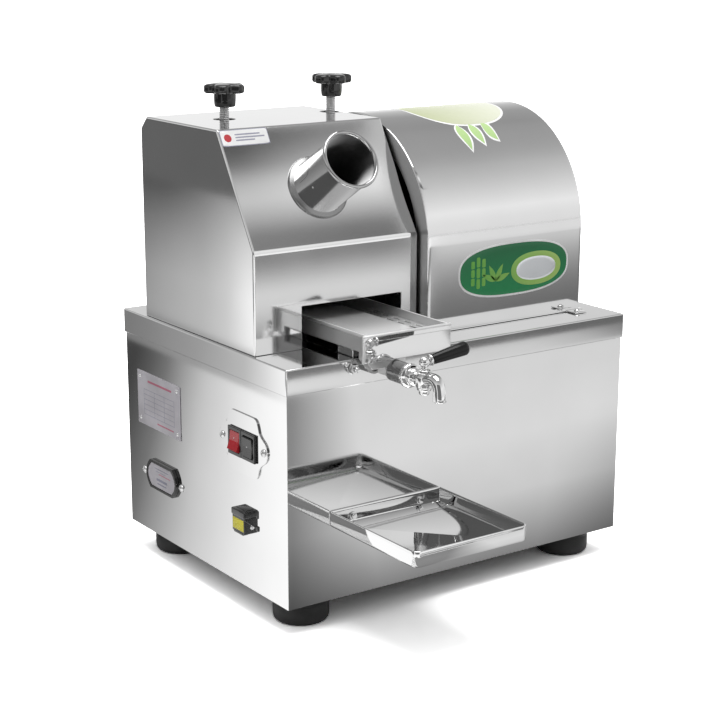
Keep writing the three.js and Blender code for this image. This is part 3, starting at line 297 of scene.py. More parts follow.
def piece(name, bm, material, like, angle=SHARP, replaced=()):
    """A piece made in machine millimetres, which rides with the node it is like."""
    bmesh.ops.transform(bm, matrix=TO_ROW, verts=bm.verts)
    return register(name, bm, material, BODY_OF[like], replaced, angle)


def dress(node, bm, material, angle=SHARP):
    """A piece made in machine millimetres that takes a node's place."""
    return piece(node + "_skin", bm, material, node, angle, [node])


def unmirrored(obj):
    """Keeps a piece out of its neighbours' mirror images, as in the photo."""
    obj.visible_glossy = False


def edge_room(edge):
    """The narrowest width of the faces beside an edge."""
    a, b = (v.co for v in edge.verts)
    along = (b - a).normalized()
    room = 1
    for other in (other for face in edge.link_faces for other in face.edges if other != edge):
        c, d = (v.co for v in other.verts)
        middle = (c + d) / 2 - a
        gap = (middle - along * middle.dot(along)).length
        if gap > 1e-5 and abs((d - c).normalized().dot(along)) >= 0.99:
            room = min(room, gap)
    return room


def weigh_normals(obj):
    """Keeps large faces flat to the eye, so that polished sheet mirrors straight."""
    obj.modifiers.new("normals", "WEIGHTED_NORMAL").keep_sharp = True


# Folds sharper than FOLD degrees are rounded, and those up to SHALLOW may be softer than square edges
FOLD = 28
SHALLOW = 50
# The share of a face's width that a bevel may take
EDGE_SHARE = 0.42


def weigh_edges(bm, width, square):
    """Gives each fold as much of the bevel width as its faces have room for, and square ones a share."""
    layer = bm.edges.layers.float.new("bevel_weight_edge")
    for edge in bm.edges:
        if len(edge.link_faces) == 2 and edge.calc_face_angle() > math.radians(FOLD):
            most = square if edge.calc_face_angle() > math.radians(SHALLOW) else 1
            edge[layer] = min(most, EDGE_SHARE * edge_room(edge) / width)


def skin(node, width, material=None, segments=2, pick=None, square=1):
    """A dressed copy of a CAD node: welded, flat faces joined, with rounded edges.

    pick gives each face its material's number.
    """
    bm = bmesh.new()
    bm.from_mesh(nodes[node].data)
    bmesh.ops.remove_doubles(bm, verts=bm.verts, dist=2e-6)
    bmesh.ops.dissolve_limit(bm, angle_limit=math.radians(0.3), verts=bm.verts, edges=bm.edges)
    weigh_edges(bm, width * MM, square)
    bmesh.ops.recalc_face_normals(bm, faces=bm.faces)
    if pick:
        for face in bm.faces:
            face.material_index = pick(face)
    material = material or MATERIALS[SLOTS[node]]
    obj = register(node + "_skin", bm, material, BODY_OF[node], [node], SHARP)
    edges = obj.modifiers.new("edges", "BEVEL")
    edges.width = width * MM
    edges.segments = segments
    edges.limit_method = "WEIGHT"
    edges.use_clamp_overlap = square == 1
    weigh_normals(obj)


def rotation(degrees, axis):
    return Matrix.Rotation(math.radians(degrees), 4, axis)


def stand(place, axis=(0, 0, 1), hint=(1, 0, 0)):
    """A matrix that puts a shape's Z along an axis and its X near the hint, at a place."""
    z = Vector(axis).normalized()
    x = Vector(hint)
    if abs(z.dot(x.normalized())) > 0.999:
        x = z.orthogonal()
    x = (x - z * x.dot(z)).normalized()
    matrix = Matrix((x, z.cross(x), z)).transposed().to_4x4()
    matrix.translation = Vector(place)
    return matrix


def loft(bm, sections, matrix=Matrix(), closed=False):
    """Joins rings of points with faces. A ring of one point is a tip, and open ends are capped."""
    rings = [[bm.verts.new(matrix @ Vector(point)) for point in section] for section in sections]
    for low, high in zip(rings, rings[1:] + rings[:1] if closed else rings[1:]):
        count = max(len(low), len(high))
        for step in range(count):
            after = (step + 1) % count
            ends = [low[step % len(low)], low[after % len(low)]]
            ends += [high[after % len(high)], high[step % len(high)]]
            corners = list(dict.fromkeys(ends))
            if len(corners) > 2:
                bm.faces.new(corners)
    if not closed:
        for ring in (rings[0], rings[-1]):
            if len(ring) > 2:
                bm.faces.new(ring)
    return bm


def ring(radius, height, segments, shape=None):
    """A level ring of points. shape scales the radius by the angle."""
    if radius <= 1e-6:
        return [(0, 0, height)]
    points = []
    for step in range(segments):
        angle = 2 * math.pi * step / segments
        reach = radius * (shape(angle) if shape else 1)
        points.append((reach * math.cos(angle), reach * math.sin(angle), height))
    return points


def lathe(bm, profile, matrix, segments, closed=False):
    """Spins [radius, height] points about Z. A third value is a shape for that ring."""
    return loft(bm, [ring(p[0], p[1], segments, *p[2:]) for p in profile], matrix, closed)


CORNER_STEPS = 6


def rounded_rect(x0, x1, y0, y1, radii, z):
    """Points round a rectangle, whose corner radii start at (x0, y0) and go anticlockwise."""
    points = []
    corners = [(x0, y0, 1, 1, 180), (x1, y0, -1, 1, 270), (x1, y1, -1, -1, 0), (x0, y1, 1, -1, 90)]
    for (x, y, dx, dy, start), radius in zip(corners, radii):
        for step in range(CORNER_STEPS + 1):
            turn = start + 90 * step / CORNER_STEPS
            points.append((*turned(x + radius * dx, y + radius * dy, radius, 0, turn), z))
    return points


def block(bm, low, high, soft, matrix=Matrix(), steps=3):
    """A box between two corners with rounded edges all round."""
    low, high = Vector(low), Vector(high)
    shape = matrix @ Matrix.Translation((low + high) / 2) @ Matrix.Diagonal((*(high - low), 1))
    corners = bmesh.ops.create_cube(bm, size=1, matrix=shape)["verts"]
    edges = [edge for edge in bm.edges if edge.verts[0] in corners]
    bmesh.ops.bevel(bm, geom=edges, offset=soft, segments=steps, profile=0.5, affect="EDGES")
    return bm


def pipe(bm, path, radii, segments):
    """A round bar along a path, with one radius for each point."""
    points = [Vector(p) for p in path]
    sections = []
    side = None
    for index, point in enumerate(points):
        ahead = points[min(index + 1, len(points) - 1)] - points[max(index - 1, 0)]
        ahead.normalize()
        if side is None:
            side = ahead.orthogonal().normalized()
        side = (side - ahead * side.dot(ahead)).normalized()
        up = ahead.cross(side)
        section = []
        for step in range(segments):
            angle = 2 * math.pi * step / segments
            section.append(point + (side * math.cos(angle) + up * math.sin(angle)) * radii[index])
        sections.append(section)
    return loft(bm, sections)


def turned(a, b, p, q, degrees):
    """The point (p, q) turned about the origin, then moved by (a, b)."""
    c, s = math.cos(math.radians(degrees)), math.sin(math.radians(degrees))
    return (a + p * c - q * s, b + p * s + q * c)


def oval(a, b, half_a, half_b, power=2, count=72):
    """Points of a rounded shape between an ellipse (power 2) and a rectangle (a high power)."""
    points = []
    for step in range(count):
        angle = 2 * math.pi * step / count
        c, s = math.cos(angle), math.sin(angle)
        p = half_a * math.copysign(abs(c) ** (2 / power), c)
        q = half_b * math.copysign(abs(s) ** (2 / power), s)
        points.append((a + p, b + q))
    return points


LEAF_POINTS = 40


def leaf(a, b, length, width, turn):
    """Points of a leaf that grows from (a, b) along the turn."""
    points = []
    for step in range(LEAF_POINTS):
        share = step / LEAF_POINTS * 2
        out = share if share <= 1 else 2 - share
        half = width / 2 * math.sin(math.pi * out ** 0.8) * (1 if share <= 1 else -1)
        points.append(turned(a, b, out * length, half, turn))
    return points


# Small fasteners

def dome_screw(bm, place, axis, radius, height):
    """A domed screw head with a shallow cross recess."""

    def cross(angle):
        return 1 - 0.42 * math.cos(2 * angle) ** 2

    shares = [(1, 0), (1, 0.2), (0.93, 0.5), (0.72, 0.8), (0.42, 0.96), (0.3, 0.45, cross), (0, 0.35)]
    profile = [(radius * out, height * up, *shape) for out, up, *shape in shares]
    return lathe(bm, profile, stand(place, axis), 32)


def hex_head(bm, place, axis, across, height, washer=0):
    """A hexagon head with a chamfered crown, on a washer."""
    base = stand(place, axis)
    start = 0
    if washer:
        lathe(bm, [(0, 0), (washer, 0), (washer, 0.8), (washer - 0.3, 1.1), (0, 1.1)], base, 40)
        start = 1.1

    def six(angle):
        return math.cos(math.pi / 6) / math.cos((angle % (math.pi / 3)) - math.pi / 6)

    top = start + height
    profile = [(0, start), (across, start, six), (across, top - 1, six), (across * 0.93, top - 0.25, six)]
    profile += [(across * 0.86, top, six), (across * 0.8, top), (0, top + 0.3)]
    return lathe(bm, profile, base, 48)


# Sheet metal

def is_slope(face):
    return int(face.normal.y < -0.5 and face.normal.z > 0.3)


def is_boss(face):
    """The outlet boss is the part of the pan in front of its front plate."""
    return int(face.calc_center_median().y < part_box("pan_front_plate")[0].y - MM)


for width, names in (
    (1.2, "cabinet_shell"), (1.5, "worktop"), (0.5, "rear_panel"), (0.6, "bagasse_chute"),
    (0.8, "left_pan_rail right_pan_rail"), (0.5, "switch_plate"),
    (1, "left_side_frame right_side_frame left_frame_cap right_frame_cap"),
    (1, "left_bearing_block right_bearing_block"), (0.8, "trash_plate"),
    (0.5, "front_roller_left_bush rear_roller_left_bush front_roller_right_bush rear_roller_right_bush"),
    (0.3, "top_roller front_roller rear_roller"),
    (0.4, "top_roller_gear front_roller_gear rear_roller_gear"), (0.3, "drive_gear motor_pinion"),
    (0.9, "gauge_bezel"), (0.3, "gauge_face rating_plate"),
    (0.7, "red_switch_bezel black_switch_bezel"), (0.8, "red_rocker black_rocker"),
):
    for node in names.split():
        skin(node, width)
skin("roller_housing", 4, [HOOD, SLOPE], 4, pick=is_slope, square=0.5)
# The base plate takes the near-black underside metal, painted shade under the cabinet
skin("base_plate", 0.6, UNDERSIDE_SHADE)
skin("juice_pan", 0.7, [PAN, BOSS], pick=is_boss)
skin("strainer_tray", 0.7, PAN)
skin("pan_front_plate", 0.9, PLATE)

COVER_FOOT = 6
COVER_SHEET = 1.5
COVER_FLANGE = 22
ARCH_STEPS = 72
cover_low, cover_high = box_of("arched_cover")
ARCH_RADIUS = (cover_high.y - cover_low.y) / 2 - COVER_FOOT
ARCH_Y = (cover_low.y + cover_high.y) / 2
SPRING_Z = cover_high.z - ARCH_RADIUS


def arched_cover():
    """The hood's outer skin, swept along the arch from foot to foot, then thickened."""
    low, high = cover_low, cover_high
    left, right = low.x, high.x
    profile = [(left, COVER_FLANGE), (left, 1.4), (left + 0.4, 0.4), (left + 1.4, 0), (left + 4, 0)]
    profile += [(right - 5, 0), (right - 2.4, 0), (right - 1.2, 0.35), (right - 0.35, 1.2), (right, 2.4)]
    heights = (low.z, low.z + 1.5, low.z + 3, (low.z + SPRING_Z) / 2)
    stations = [(-1, 0, z) for z in heights]
    for step in range(ARCH_STEPS + 1):
        angle = math.pi * step / ARCH_STEPS
        stations.append((-math.cos(angle), math.sin(angle), SPRING_Z))
    stations += [(1, 0, z) for z in reversed(heights)]
    bm = bmesh.new()
    rings = []
    for x, inset in profile:
        reach = ARCH_RADIUS - inset
        rings.append([bm.verts.new((x, ARCH_Y + c * reach, z + s * reach)) for c, s, z in stations])
    # The first ring is the end flange, in the darker grey that paints shade on it
    for number, (before, after) in enumerate(zip(rings, rings[1:])):
        for step in range(len(stations) - 1):
            face = bm.faces.new((before[step], before[step + 1], after[step + 1], after[step]))
            face.material_index = int(number == 0)
    bm.faces.new(rings[-1])
    obj = dress("arched_cover", bm, [HOOD, FLANGE_SHADE], 40)
    shell = obj.modifiers.new("sheet", "SOLIDIFY")
    shell.thickness = COVER_SHEET * MM
    shell.offset = -1
    shell.use_even_offset = True
    weigh_normals(obj)
    feet = bmesh.new()
    deep, top = COVER_FOOT + COVER_SHEET, low.z + COVER_SHEET
    for edge in (low.y, high.y - deep):
        block(feet, (left, edge, low.z), (right, edge + deep, top), 0.5)
    block(feet, (right - 26, low.y - 16, low.z), (right - 8, low.y + 2, top), 0.5)
    piece("cover_feet", feet, STEEL, "arched_cover")
    screw = dome_screw(bmesh.new(), (right - 17, low.y - 9, top), (0, 0, 1), 4, 2.6)
    piece("cover_foot_screw", screw, CHROME, "arched_cover")


arched_cover()


# Feed tube, its collar and the slope it stands on, which starts at a fold above the worktop

FOLD_RISE = 113.6
SLOPE_RUN = 72.7
FEED_INSET = 103.7
FEED_ALONG = 65.9
housing_low, housing_high = box_of("roller_housing")
fold = Vector((housing_low.x, housing_low.y, top_high.z / MM + FOLD_RISE))
along_slope = Vector((0, SLOPE_RUN, housing_high.z - fold.z)).normalized()
SLOPE_NORMAL = Vector((0, -along_slope.z, along_slope.y))
FEED = stand(fold + Vector((FEED_INSET, 0, 0)) + along_slope * FEED_ALONG, SLOPE_NORMAL)
TUBE_RADIUS = 31
TUBE_BORE = 29.5
TUBE_LENGTH = 78
LIP_ROLL = 2.2
# The seam's course on the tube, as (degrees round it, height), and the weld spot's place
SEAM = [(136, 42), (146, 40.2), (160, 37.6), (171, 35.6), (175, 33), (176.5, 28), (177, 22), (177, 16)]
WELD_TURN = 202
WELD_HEIGHT = 33.8


def feed_tube():
    roll = TUBE_LENGTH - LIP_ROLL
    profile = [(TUBE_BORE, -5), (TUBE_RADIUS, -5), (TUBE_RADIUS, 0), (TUBE_RADIUS, roll - 3.4)]
    profile.append((TUBE_RADIUS + 0.3, roll - 2.4))
    for step in range(9):
        angle = math.radians(-70 + 200 * step / 8)
        profile.append((TUBE_RADIUS + 0.7 + LIP_ROLL * math.cos(angle), roll + LIP_ROLL * math.sin(angle)))
    profile += [(TUBE_BORE, roll - 0.6), (TUBE_BORE, roll - 4)]
    bm = lathe(bmesh.new(), profile, FEED, 96, closed=True)
    into = FEED.inverted()
    # Faces inside the bore take the near-black steel, which paints shade into the tube
    for face in bm.faces:
        place = into @ face.calc_center_median()
        if math.hypot(place.x, place.y) < TUBE_BORE + 0.2 and place.z < roll - 2:
            face.material_index = 1
    unmirrored(dress("feed_tube", bm, [TUBE, BORE_SHADE], 50))
    path = [FEED @ Vector((*turned(0, 0, TUBE_RADIUS, 0, angle), height)) for angle, height in SEAM]
    seam_bead = pipe(bmesh.new(), path, [0.15] + [0.3] * 6 + [0.15], 8)
    unmirrored(piece("feed_tube_seam", seam_bead, IRON, "feed_tube"))
    place = FEED @ Vector((*turned(0, 0, TUBE_RADIUS, 0, WELD_TURN), WELD_HEIGHT))
    outward = FEED.to_3x3() @ Vector((*turned(0, 0, 1, 0, WELD_TURN), 0))
    dot = lathe(bmesh.new(), [(0.9, -0.2), (0.9, 0.1), (0.6, 0.4), (0, 0.5)], stand(place, outward), 20)
    unmirrored(piece("feed_tube_weld", dot, CHROME, "feed_tube"))


def feed_collar():
    profile = [(31.3, 0.3), (37, 0.3), (37, 2.2), (36.6, 3.2), (35.6, 4), (33.2, 4.6)]
    profile += [(32, 5.4), (31.3, 5.6)]
    bm = lathe(bmesh.new(), profile, FEED, 96, closed=True)
    unmirrored(piece("feed_collar_skin", bm, COLLAR_SHADE, "feed_tube_collar", 50, ["feed_tube_collar"]))


feed_tube()
feed_collar()


# Pressure screws and star knobs

KNOB_LOBES = 5
KNOB_HUB = 15.5
KNOB_TURNS = {"left": 12, "right": 50}
THREAD_PITCH = 2
THREAD_DEPTH = 0.55


def knob_lobes(angle):
    wave = math.cos(KNOB_LOBES * angle)
    return 1 + 0.16 * (1 - (1 - wave) ** 2 / 2)


def star_knob(node, turn):
    profile = [(6.2, 0), (10.6, 0), (11.6, 0.5), (12.1, 1.6), (12.7, 8), (12.7, KNOB_HUB - 0.6)]
    head = [(15.2, 0), (18.4, 0.1), (19.9, 0.9), (20.6, 2.6), (20.6, 7.2), (20.2, 8.6), (19, 9.7)]
    head += [(17, 10.4), (14, 10.8), (9, 11.1), (4, 11.3)]
    profile += [(radius, KNOB_HUB + rise, knob_lobes) for radius, rise in head]
    profile.append((0, KNOB_HUB + 11.5))
    base = stand(foot_of(node), hint=(*turned(0, 0, 1, 0, turn), 0))
    dress(node, lathe(bmesh.new(), profile, base, 120), KNOB, 55)


def threaded_rod(node):
    """The rod with its ridge wound round it."""
    low, high = box_of(node)
    radius = (high.x - low.x) / 2
    steps = round((high.z - low.z) / THREAD_PITCH * 6)
    sections = []
    for step in range(steps + 1):
        height = (high.z - low.z) * step / steps
        turns = height / THREAD_PITCH

        def ridge(angle):
            return 1 - THREAD_DEPTH / radius * (0.5 + 0.5 * math.cos(2 * math.pi * turns - angle))

        sections.append(ring(radius, height, 24, ridge))
    dress(node, loft(bmesh.new(), sections, stand(foot_of(node))), THREAD, 70)


for side, turn in KNOB_TURNS.items():
    star_knob(side + "_star_knob", turn)
    threaded_rod(side + "_pressure_screw")


# Juice pan trim

PAN_WALL = 1.8


def pan_hems():
    """Rolled rims along the pan's sides, and the folded edges of its front plate."""
    inner_low, inner_high = box_of("strainer_tray")
    low, high = box_of("pan_front_plate")
    back, rim = box_of("juice_pan")[1].y, inner_high.z
    hems = bmesh.new()
    for x in (inner_low.x - PAN_WALL, inner_high.x + PAN_WALL):
        block(hems, (x - 1, high.y + 0.6, rim - 3.4), (x + 1, back - 1, rim + 0.5), 1)
    piece("pan_hems", hems, TRIM, "juice_pan")
    trim = bmesh.new()
    block(trim, (low.x - 0.2, low.y + 0.2, low.z + 0.4), (low.x + 3.4, high.y, high.z - 0.3), 0.6)
    block(trim, (low.x - 0.4, low.y - 0.4, high.z - 2.6), (high.x + 0.4, high.y + 0.2, high.z + 0.4), 1.1)
    piece("pan_plate_fold", trim, TRIM, "pan_front_plate")


pan_hems()


# Tap: it is modelled about the plug's axis, with the spout to -Y

PLUG_DROP = 15.3
TAP = foot_of("tap_plug") + Vector((0, 0, PLUG_DROP))
BALL_RISE = 20
BALL_RADIUS = 6
# The spout's curve, as (y, z) from the plug's axis: its start, two points that pull it, and its mouth
SPOUT = ((-4, 1.8), (-19, 7.2), (-27, 5.5), (-27, -16.4))
LEVER_RUN = (50, 0, 7.5)


def ribbed(angle):
    return 1 - 0.045 * (0.5 + 0.5 * math.cos(18 * angle)) ** 2


def tap_body():
    bm = bmesh.new()
    barrel = [(5.4, -10), (7.4, -10), (8, -9.2), (8, -7.4), (9.3, -6.4), (9.6, -3), (9.6, 3), (9, 6)]
    barrel += [(7.6, 7.4), (7.2, 8.2), (8.2, 8.8), (8.2, 9.6), (7.4, 10), (5.4, 10)]
    lathe(bm, barrel, stand(TAP), 48, closed=True)
    neck = [(0, 4), (8.2, 4), (8.4, 9), (7.2, 11), (7, 13), (8.8, 14.4), (9.8, 16.4), (9.8, 19)]
    neck += [(8.6, 20.6), (8.8, 21.6), (11.4, 22.4), (12.4, 23.2), (13.4, 24.2, ribbed)]
    neck += [(13.5, 24.8, ribbed), (13.5, 27.4, ribbed), (12.6, 28), (0, 28)]
    lathe(bm, neck, stand(TAP, (0, 1, 0)), 72)
    path = []
    radii = []
    start, rise, turn, end = (TAP + Vector((0, y, z)) for y, z in SPOUT)
    for step in range(25):
        t = step / 24
        r = 1 - t
        path.append(start * r ** 3 + rise * 3 * t * r ** 2 + turn * 3 * t * t * r + end * t ** 3)
        radii.append(7.2 - 0.5 * min(1, t * 2) + max(0, t - 0.8) * 3.4)
    path.append(end + Vector((0, 0, -0.6)))
    radii.append(6.8)
    pipe(bm, path, radii, 32)
    dress("tap_body", bm, CHROME, 45)
    # A near-black disc just inside the spout's mouth: painted shade in the opening
    opening = stand(path[-1] - Vector((0, 0, 0.1)), (0, 0, -1))
    mouth = lathe(bmesh.new(), [(5.2, -0.15), (5.2, 0.3), (0, 0.4)], opening, 32)
    piece("tap_mouth_painted_shade", mouth, IRON, "tap_body")


def tap_plug():
    profile = [(0, -15.3), (4.2, -15.3), (5.4, -14.5), (5.8, -13.3), (5.8, -11.5), (6.6, -11.1)]
    profile += [(6.6, -10.3), (5, -10.3), (5, 10.2), (6.4, 10.6), (6.6, 11.4), (5.8, 12.2), (4, 12.8)]
    profile += [(3.4, 13.8), (3.2, 15)]
    for step in range(13):
        profile.append(turned(0, BALL_RISE, BALL_RADIUS, 0, -58 + 148 * step / 12))
    dress("tap_plug", lathe(bmesh.new(), profile, stand(TAP), 48), CHROME, 45)


def tap_lever():
    base = stand(TAP + Vector((0, 0, BALL_RISE)), LEVER_RUN, (0, 0, 1))
    grip = [(0, 8.6), (4.6, 8.6), (5.2, 9.2), (5.5, 11), (6.3, 24), (7.2, 40), (7.8, 51), (7.7, 53.4)]
    grip += [(6.8, 55.4), (5, 56.4), (0, 56.7)]
    dress("tap_lever", lathe(bmesh.new(), grip, base, 48), LEVER, 40)
    ferrule = [(0, 5.4), (3.4, 5.4), (4.6, 6.2), (6, 7), (6.2, 8), (5.6, 8.8), (0, 8.8)]
    piece("tap_lever_ferrule", lathe(bmesh.new(), ferrule, base, 40), CHROME, "tap_lever")


tap_body()
tap_plug()
tap_lever()


# Bolts and the cup tray

FORWARD = (0, -1, 0)
RIVET_X = -163
RIVET_Z = 297.5
TRAY_SHEET = 1.2


def skirt_bolt():
    middle = middle_of("skirt_bolt")
    panel = box_of("skirt_bolt")[1].y
    bm = hex_head(bmesh.new(), (middle.x, panel, middle.z), FORWARD, 5.6, 7, 6.6)
    lathe(bm, [(3, 8), (3, 10.6), (2.2, 11.6), (0, 11.8)], stand((middle.x, panel, middle.z), FORWARD), 24)
    dress("skirt_bolt", bm, CHROME, 30)
    small = dome_screw(bmesh.new(), (RIVET_X, panel, RIVET_Z), FORWARD, 2.6, 1.4)
    piece("skirt_rivet", small, SCREW, "skirt_bolt")


def tray_bolt(node):
    middle = middle_of(node)
    place = (middle.x, box_of(node)[0].y + 4, middle.z)
    bm = hex_head(bmesh.new(), place, FORWARD, 3.6, 2.6, 4.6)
    lathe(bm, [(3, -14), (3, 0.2)], stand(place, FORWARD), 24)
    dress(node, bm, CHROME, 30)


def cup_tray():
    """A pressed tray: rounded front corners, a folded rim and a small radius round its floor."""
    low, high = box_of("cup_tray")
    floor, rim = low.z + TRAY_SHEET, high.z
    levels = [(2.2, low.z), (0.7, low.z + 0.5), (0.15, low.z + 1.6), (0, low.z + 3), (0, rim - 0.9)]
    levels += [(0.25, rim - 0.3), (0.8, rim), (1.5, rim - 0.2), (1.9, rim - 0.8), (1.9, rim - 3.6)]
    levels += [(TRAY_SHEET, rim - 4), (TRAY_SHEET, floor + 2.2), (TRAY_SHEET + 0.6, floor + 0.6)]
    levels.append((TRAY_SHEET + 2, floor))
    sections = []
    for inset, z in levels:
        front, rear = (max(0.4, radius - inset) for radius in (8, 1.5))
        sides = (low.x + inset, high.x - inset, low.y + inset, high.y - inset)
        sections.append(rounded_rect(*sides, (front, front, rear, rear), z))
    dress("cup_tray", loft(bmesh.new(), sections), STEEL, 35)


skirt_bolt()
tray_bolt("cup_tray_bolt_left")
tray_bolt("cup_tray_bolt_right")
cup_tray()


# Left side panel: switches, inlet, gauge and rating plate

OUT = (-1, 0, 0)
PANEL_X = box_of("worktop")[0].x + 1.5
SWITCH_SCREWS = 43.5
RIVET_INSET = 7


def switch_details():
    middle_y = (box_of("red_switch_bezel")[1].y + box_of("black_switch_bezel")[0].y) / 2
    middle_z = middle_of("red_switch_bezel").z
    screws = bmesh.new()
    for side in (-SWITCH_SCREWS, SWITCH_SCREWS):
        place = (box_of("switch_plate")[0].x, middle_y + side, middle_z + 0.4)
        dome_screw(screws, place, OUT, 4.4, 2.6)
    piece("switch_screws", screws, SCREW, "switch_plate")
    marks = bmesh.new()
    for rise in (-4.6, 0.6):
        place = (box_of("black_rocker")[0].x + 1.35, middle_of("black_rocker").y + 0.6, middle_z + rise)
        lathe(marks, [(1, 0), (1, 0.25), (0, 0.3)], stand(place, OUT), 16)
    piece("black_rocker_marks", marks, WHITE, "black_rocker")
    place = (box_of("red_rocker")[0].x + 4.3, middle_of("red_rocker").y, middle_z + 5.2)
    base = Matrix.Translation(place) @ rotation(30, "Y")
    mark = block(bmesh.new(), (-0.2, -0.5, -2.2), (0.1, 0.5, 2.2), 0.1, base)
    piece("red_rocker_mark", mark, WHITE, "red_rocker")


def power_inlet():
    """A black block with a hood, a side flange, a slanting rib and a bare yellow label."""
    low, high = box_of("power_inlet")
    panel, front, rear = PANEL_X, low.y, high.y
    parts = [
        ((low.x + 1.2, front + 1.6, low.z), (panel, rear - 0.4, high.z - 1.5), 1.1),
        ((low.x, front + 0.2, high.z - 7.5), (panel, rear, high.z), 1.3),
        ((low.x + 3.5, front + 3, high.z - 1.5), (panel - 3.5, rear - 4, high.z + 1.1), 1),
        ((panel - 3, front - 2.6, low.z + 2), (panel, rear + 2, low.z + 8), 1),
        ((panel - 2.2, front - 1.2, high.z - 10), (panel, rear + 1.2, high.z - 1), 0.8),
        ((low.x + 0.8, front + 4, low.z - 1.2), (low.x + 8, rear - 4, low.z + 2), 0.8),
        ((panel - 0.5, front + 3, low.z + 3), (panel + 16, rear - 3, high.z - 3), 0.8),
    ]
    rib = Matrix.Translation((low.x + 8.5, front + 1.2, high.z - 14)) @ rotation(38, "Y")
    bm = block(bmesh.new(), (-8.5, -1.6, -1), (8.5, 0.6, 1), 0.6, rib)
    for corner, far_corner, soft in parts:
        block(bm, corner, far_corner, soft)
    unmirrored(dress("power_inlet", bm, BLACK))
    label_low = (low.x + 0.9, front + 3, low.z + 3.2)
    label = block(bmesh.new(), label_low, (low.x + 1.3, rear - 2, low.z + 16.2), 0.15)
    unmirrored(piece("power_inlet_label", label, YELLOW, "power_inlet"))
    screw = dome_screw(bmesh.new(), (low.x + 11.5, front + 1.6, low.z + 7.5), FORWARD, 2.6, 1.5)
    unmirrored(piece("power_inlet_screw", screw, SCREW, "power_inlet"))


def strips(name, node, rows, material):
    """Printed strips on the left side, each (y0, y1, z, height) from the node's middle."""
    face, middle = box_of(node)[0].x, middle_of(node)
    bm = bmesh.new()
    for y0, y1, rise, height in rows:
        bottom, top = middle.z + rise - height / 2, middle.z + rise + height / 2
        block(bm, (face - 0.08, middle.y + y0, bottom), (face + 0.1, middle.y + y1, top), 0.03, steps=1)
    piece(name, bm, material, node)


def gauge_details():
    lines = [(-18, 16, 9.2, 1), (-10, 14, 5.8, 0.6), (-14, 12, -4, 3), (-12, 10, -9, 1.6)]
    strips("gauge_lines", "gauge_face", lines, LINE_GREY)
    strips("gauge_red_line", "gauge_face", [(-22, 6, 3.2, 1)], LINE_RED)
    middle = middle_of("gauge_bezel")
    screws = bmesh.new()
    for reach in (-44, 45.6):
        dome_screw(screws, (PANEL_X, middle.y + reach, middle.z - 1.1), OUT, 4.6, 3)
    piece("gauge_screws", screws, SCREW, "gauge_bezel")


def rating_details():
    low, high = box_of("rating_plate")
    rivets = bmesh.new()
    for y in (low.y + RIVET_INSET, high.y - RIVET_INSET):
        for z in (low.z + RIVET_INSET, high.z - RIVET_INSET):
            dome_screw(rivets, (low.x, y, z), OUT, 2.4, 1.3)
    piece("rating_rivets", rivets, SCREW, "rating_plate")
    rows = [(-38, 36, 12 - 6.2 * row, 0.5) for row in range(6)]
    rows += [(y - 0.25, y + 0.25, -3.5, 31) for y in (-38, -14, 10, 36)]
    strips("rating_grid", "rating_plate", rows, LINE_GREY)
    strips("rating_bars", "rating_plate", [(-32, 26, 23, 2.6), (-36, 4, -25, 1.6)], LINE_RED)


switch_details()
power_inlet()
gauge_details()
rating_details()


# Films on the slope and the arched cover

def on_slope(x, along, height):
    return Vector((x, fold.y, fold.z)) + along_slope * along + SLOPE_NORMAL * height


def on_cover_front(x, z, height):
    return Vector((x, ARCH_Y - ARCH_RADIUS - height, z))


def on_arch(x, angle, height):
    """A place on the arch by its angle in degrees above the front spring line."""
    turn = math.radians(angle)
    reach = ARCH_RADIUS + height
    return Vector((x, ARCH_Y - reach * math.cos(turn), SPRING_Z + reach * math.sin(turn)))


# Layers of the films, as (thickness, lift)
BORDER = (0.15, 0)
FIELD = (0.1, 0.15)
PRINT = (0.08, 0.25)
WINDOW = (0.08, 0.33)
FRINGE = (0.12, 0)
LEAVES = (0.1, 0.12)


def film(name, node, outlines, surface, layer, material):
    """Thin films inside outlines of (a, b) points. surface turns (a, b, height) into a place."""
    thick, lift = layer
    top = lift + thick
    bm = bmesh.new()
    for outline in outlines:
        centre = Vector((sum(p[0] for p in outline), sum(p[1] for p in outline))) / len(outline)
        sections = [[surface(a, b, lift) for a, b in outline]]
        for share in (1, 0.995, 0.8, 0.6, 0.4, 0.2):
            height = top if share < 1 else top - thick * 0.3
            sections.append([surface(*(centre + (Vector(p) - centre) * share), height) for p in outline])
        sections.append([surface(*centre, top)])
        loft(bm, sections)
    piece(name, bm, material, node)


def slope_film():
    """A small label with a disc and three bars."""
    node = "roller_housing"
    a, b = -203.85, math.hypot(SLOPE_RUN, housing_high.z - fold.z) - 10.6
    film("slope_film", node, [oval(a, b, 30.2, 9.6, 14)], on_slope, BORDER, LINE_GREY)
    film("slope_film_face", node, [oval(a, b, 29.4, 8.8, 14)], on_slope, FIELD, WHITE)
    film("slope_film_disc", node, [oval(a - 21.5, b, 4.6, 4.6)], on_slope, PRINT, SIGNAL)
    rows = ((3.6, 4, 16), (0.2, 6.5, 18.5), (-3.2, 0, 12))
    bars = [oval(a + middle, b + rise, half, 0.8, 8, 32) for rise, middle, half in rows]
    film("slope_film_bars", node, bars, on_slope, PRINT, LINE_GREY)


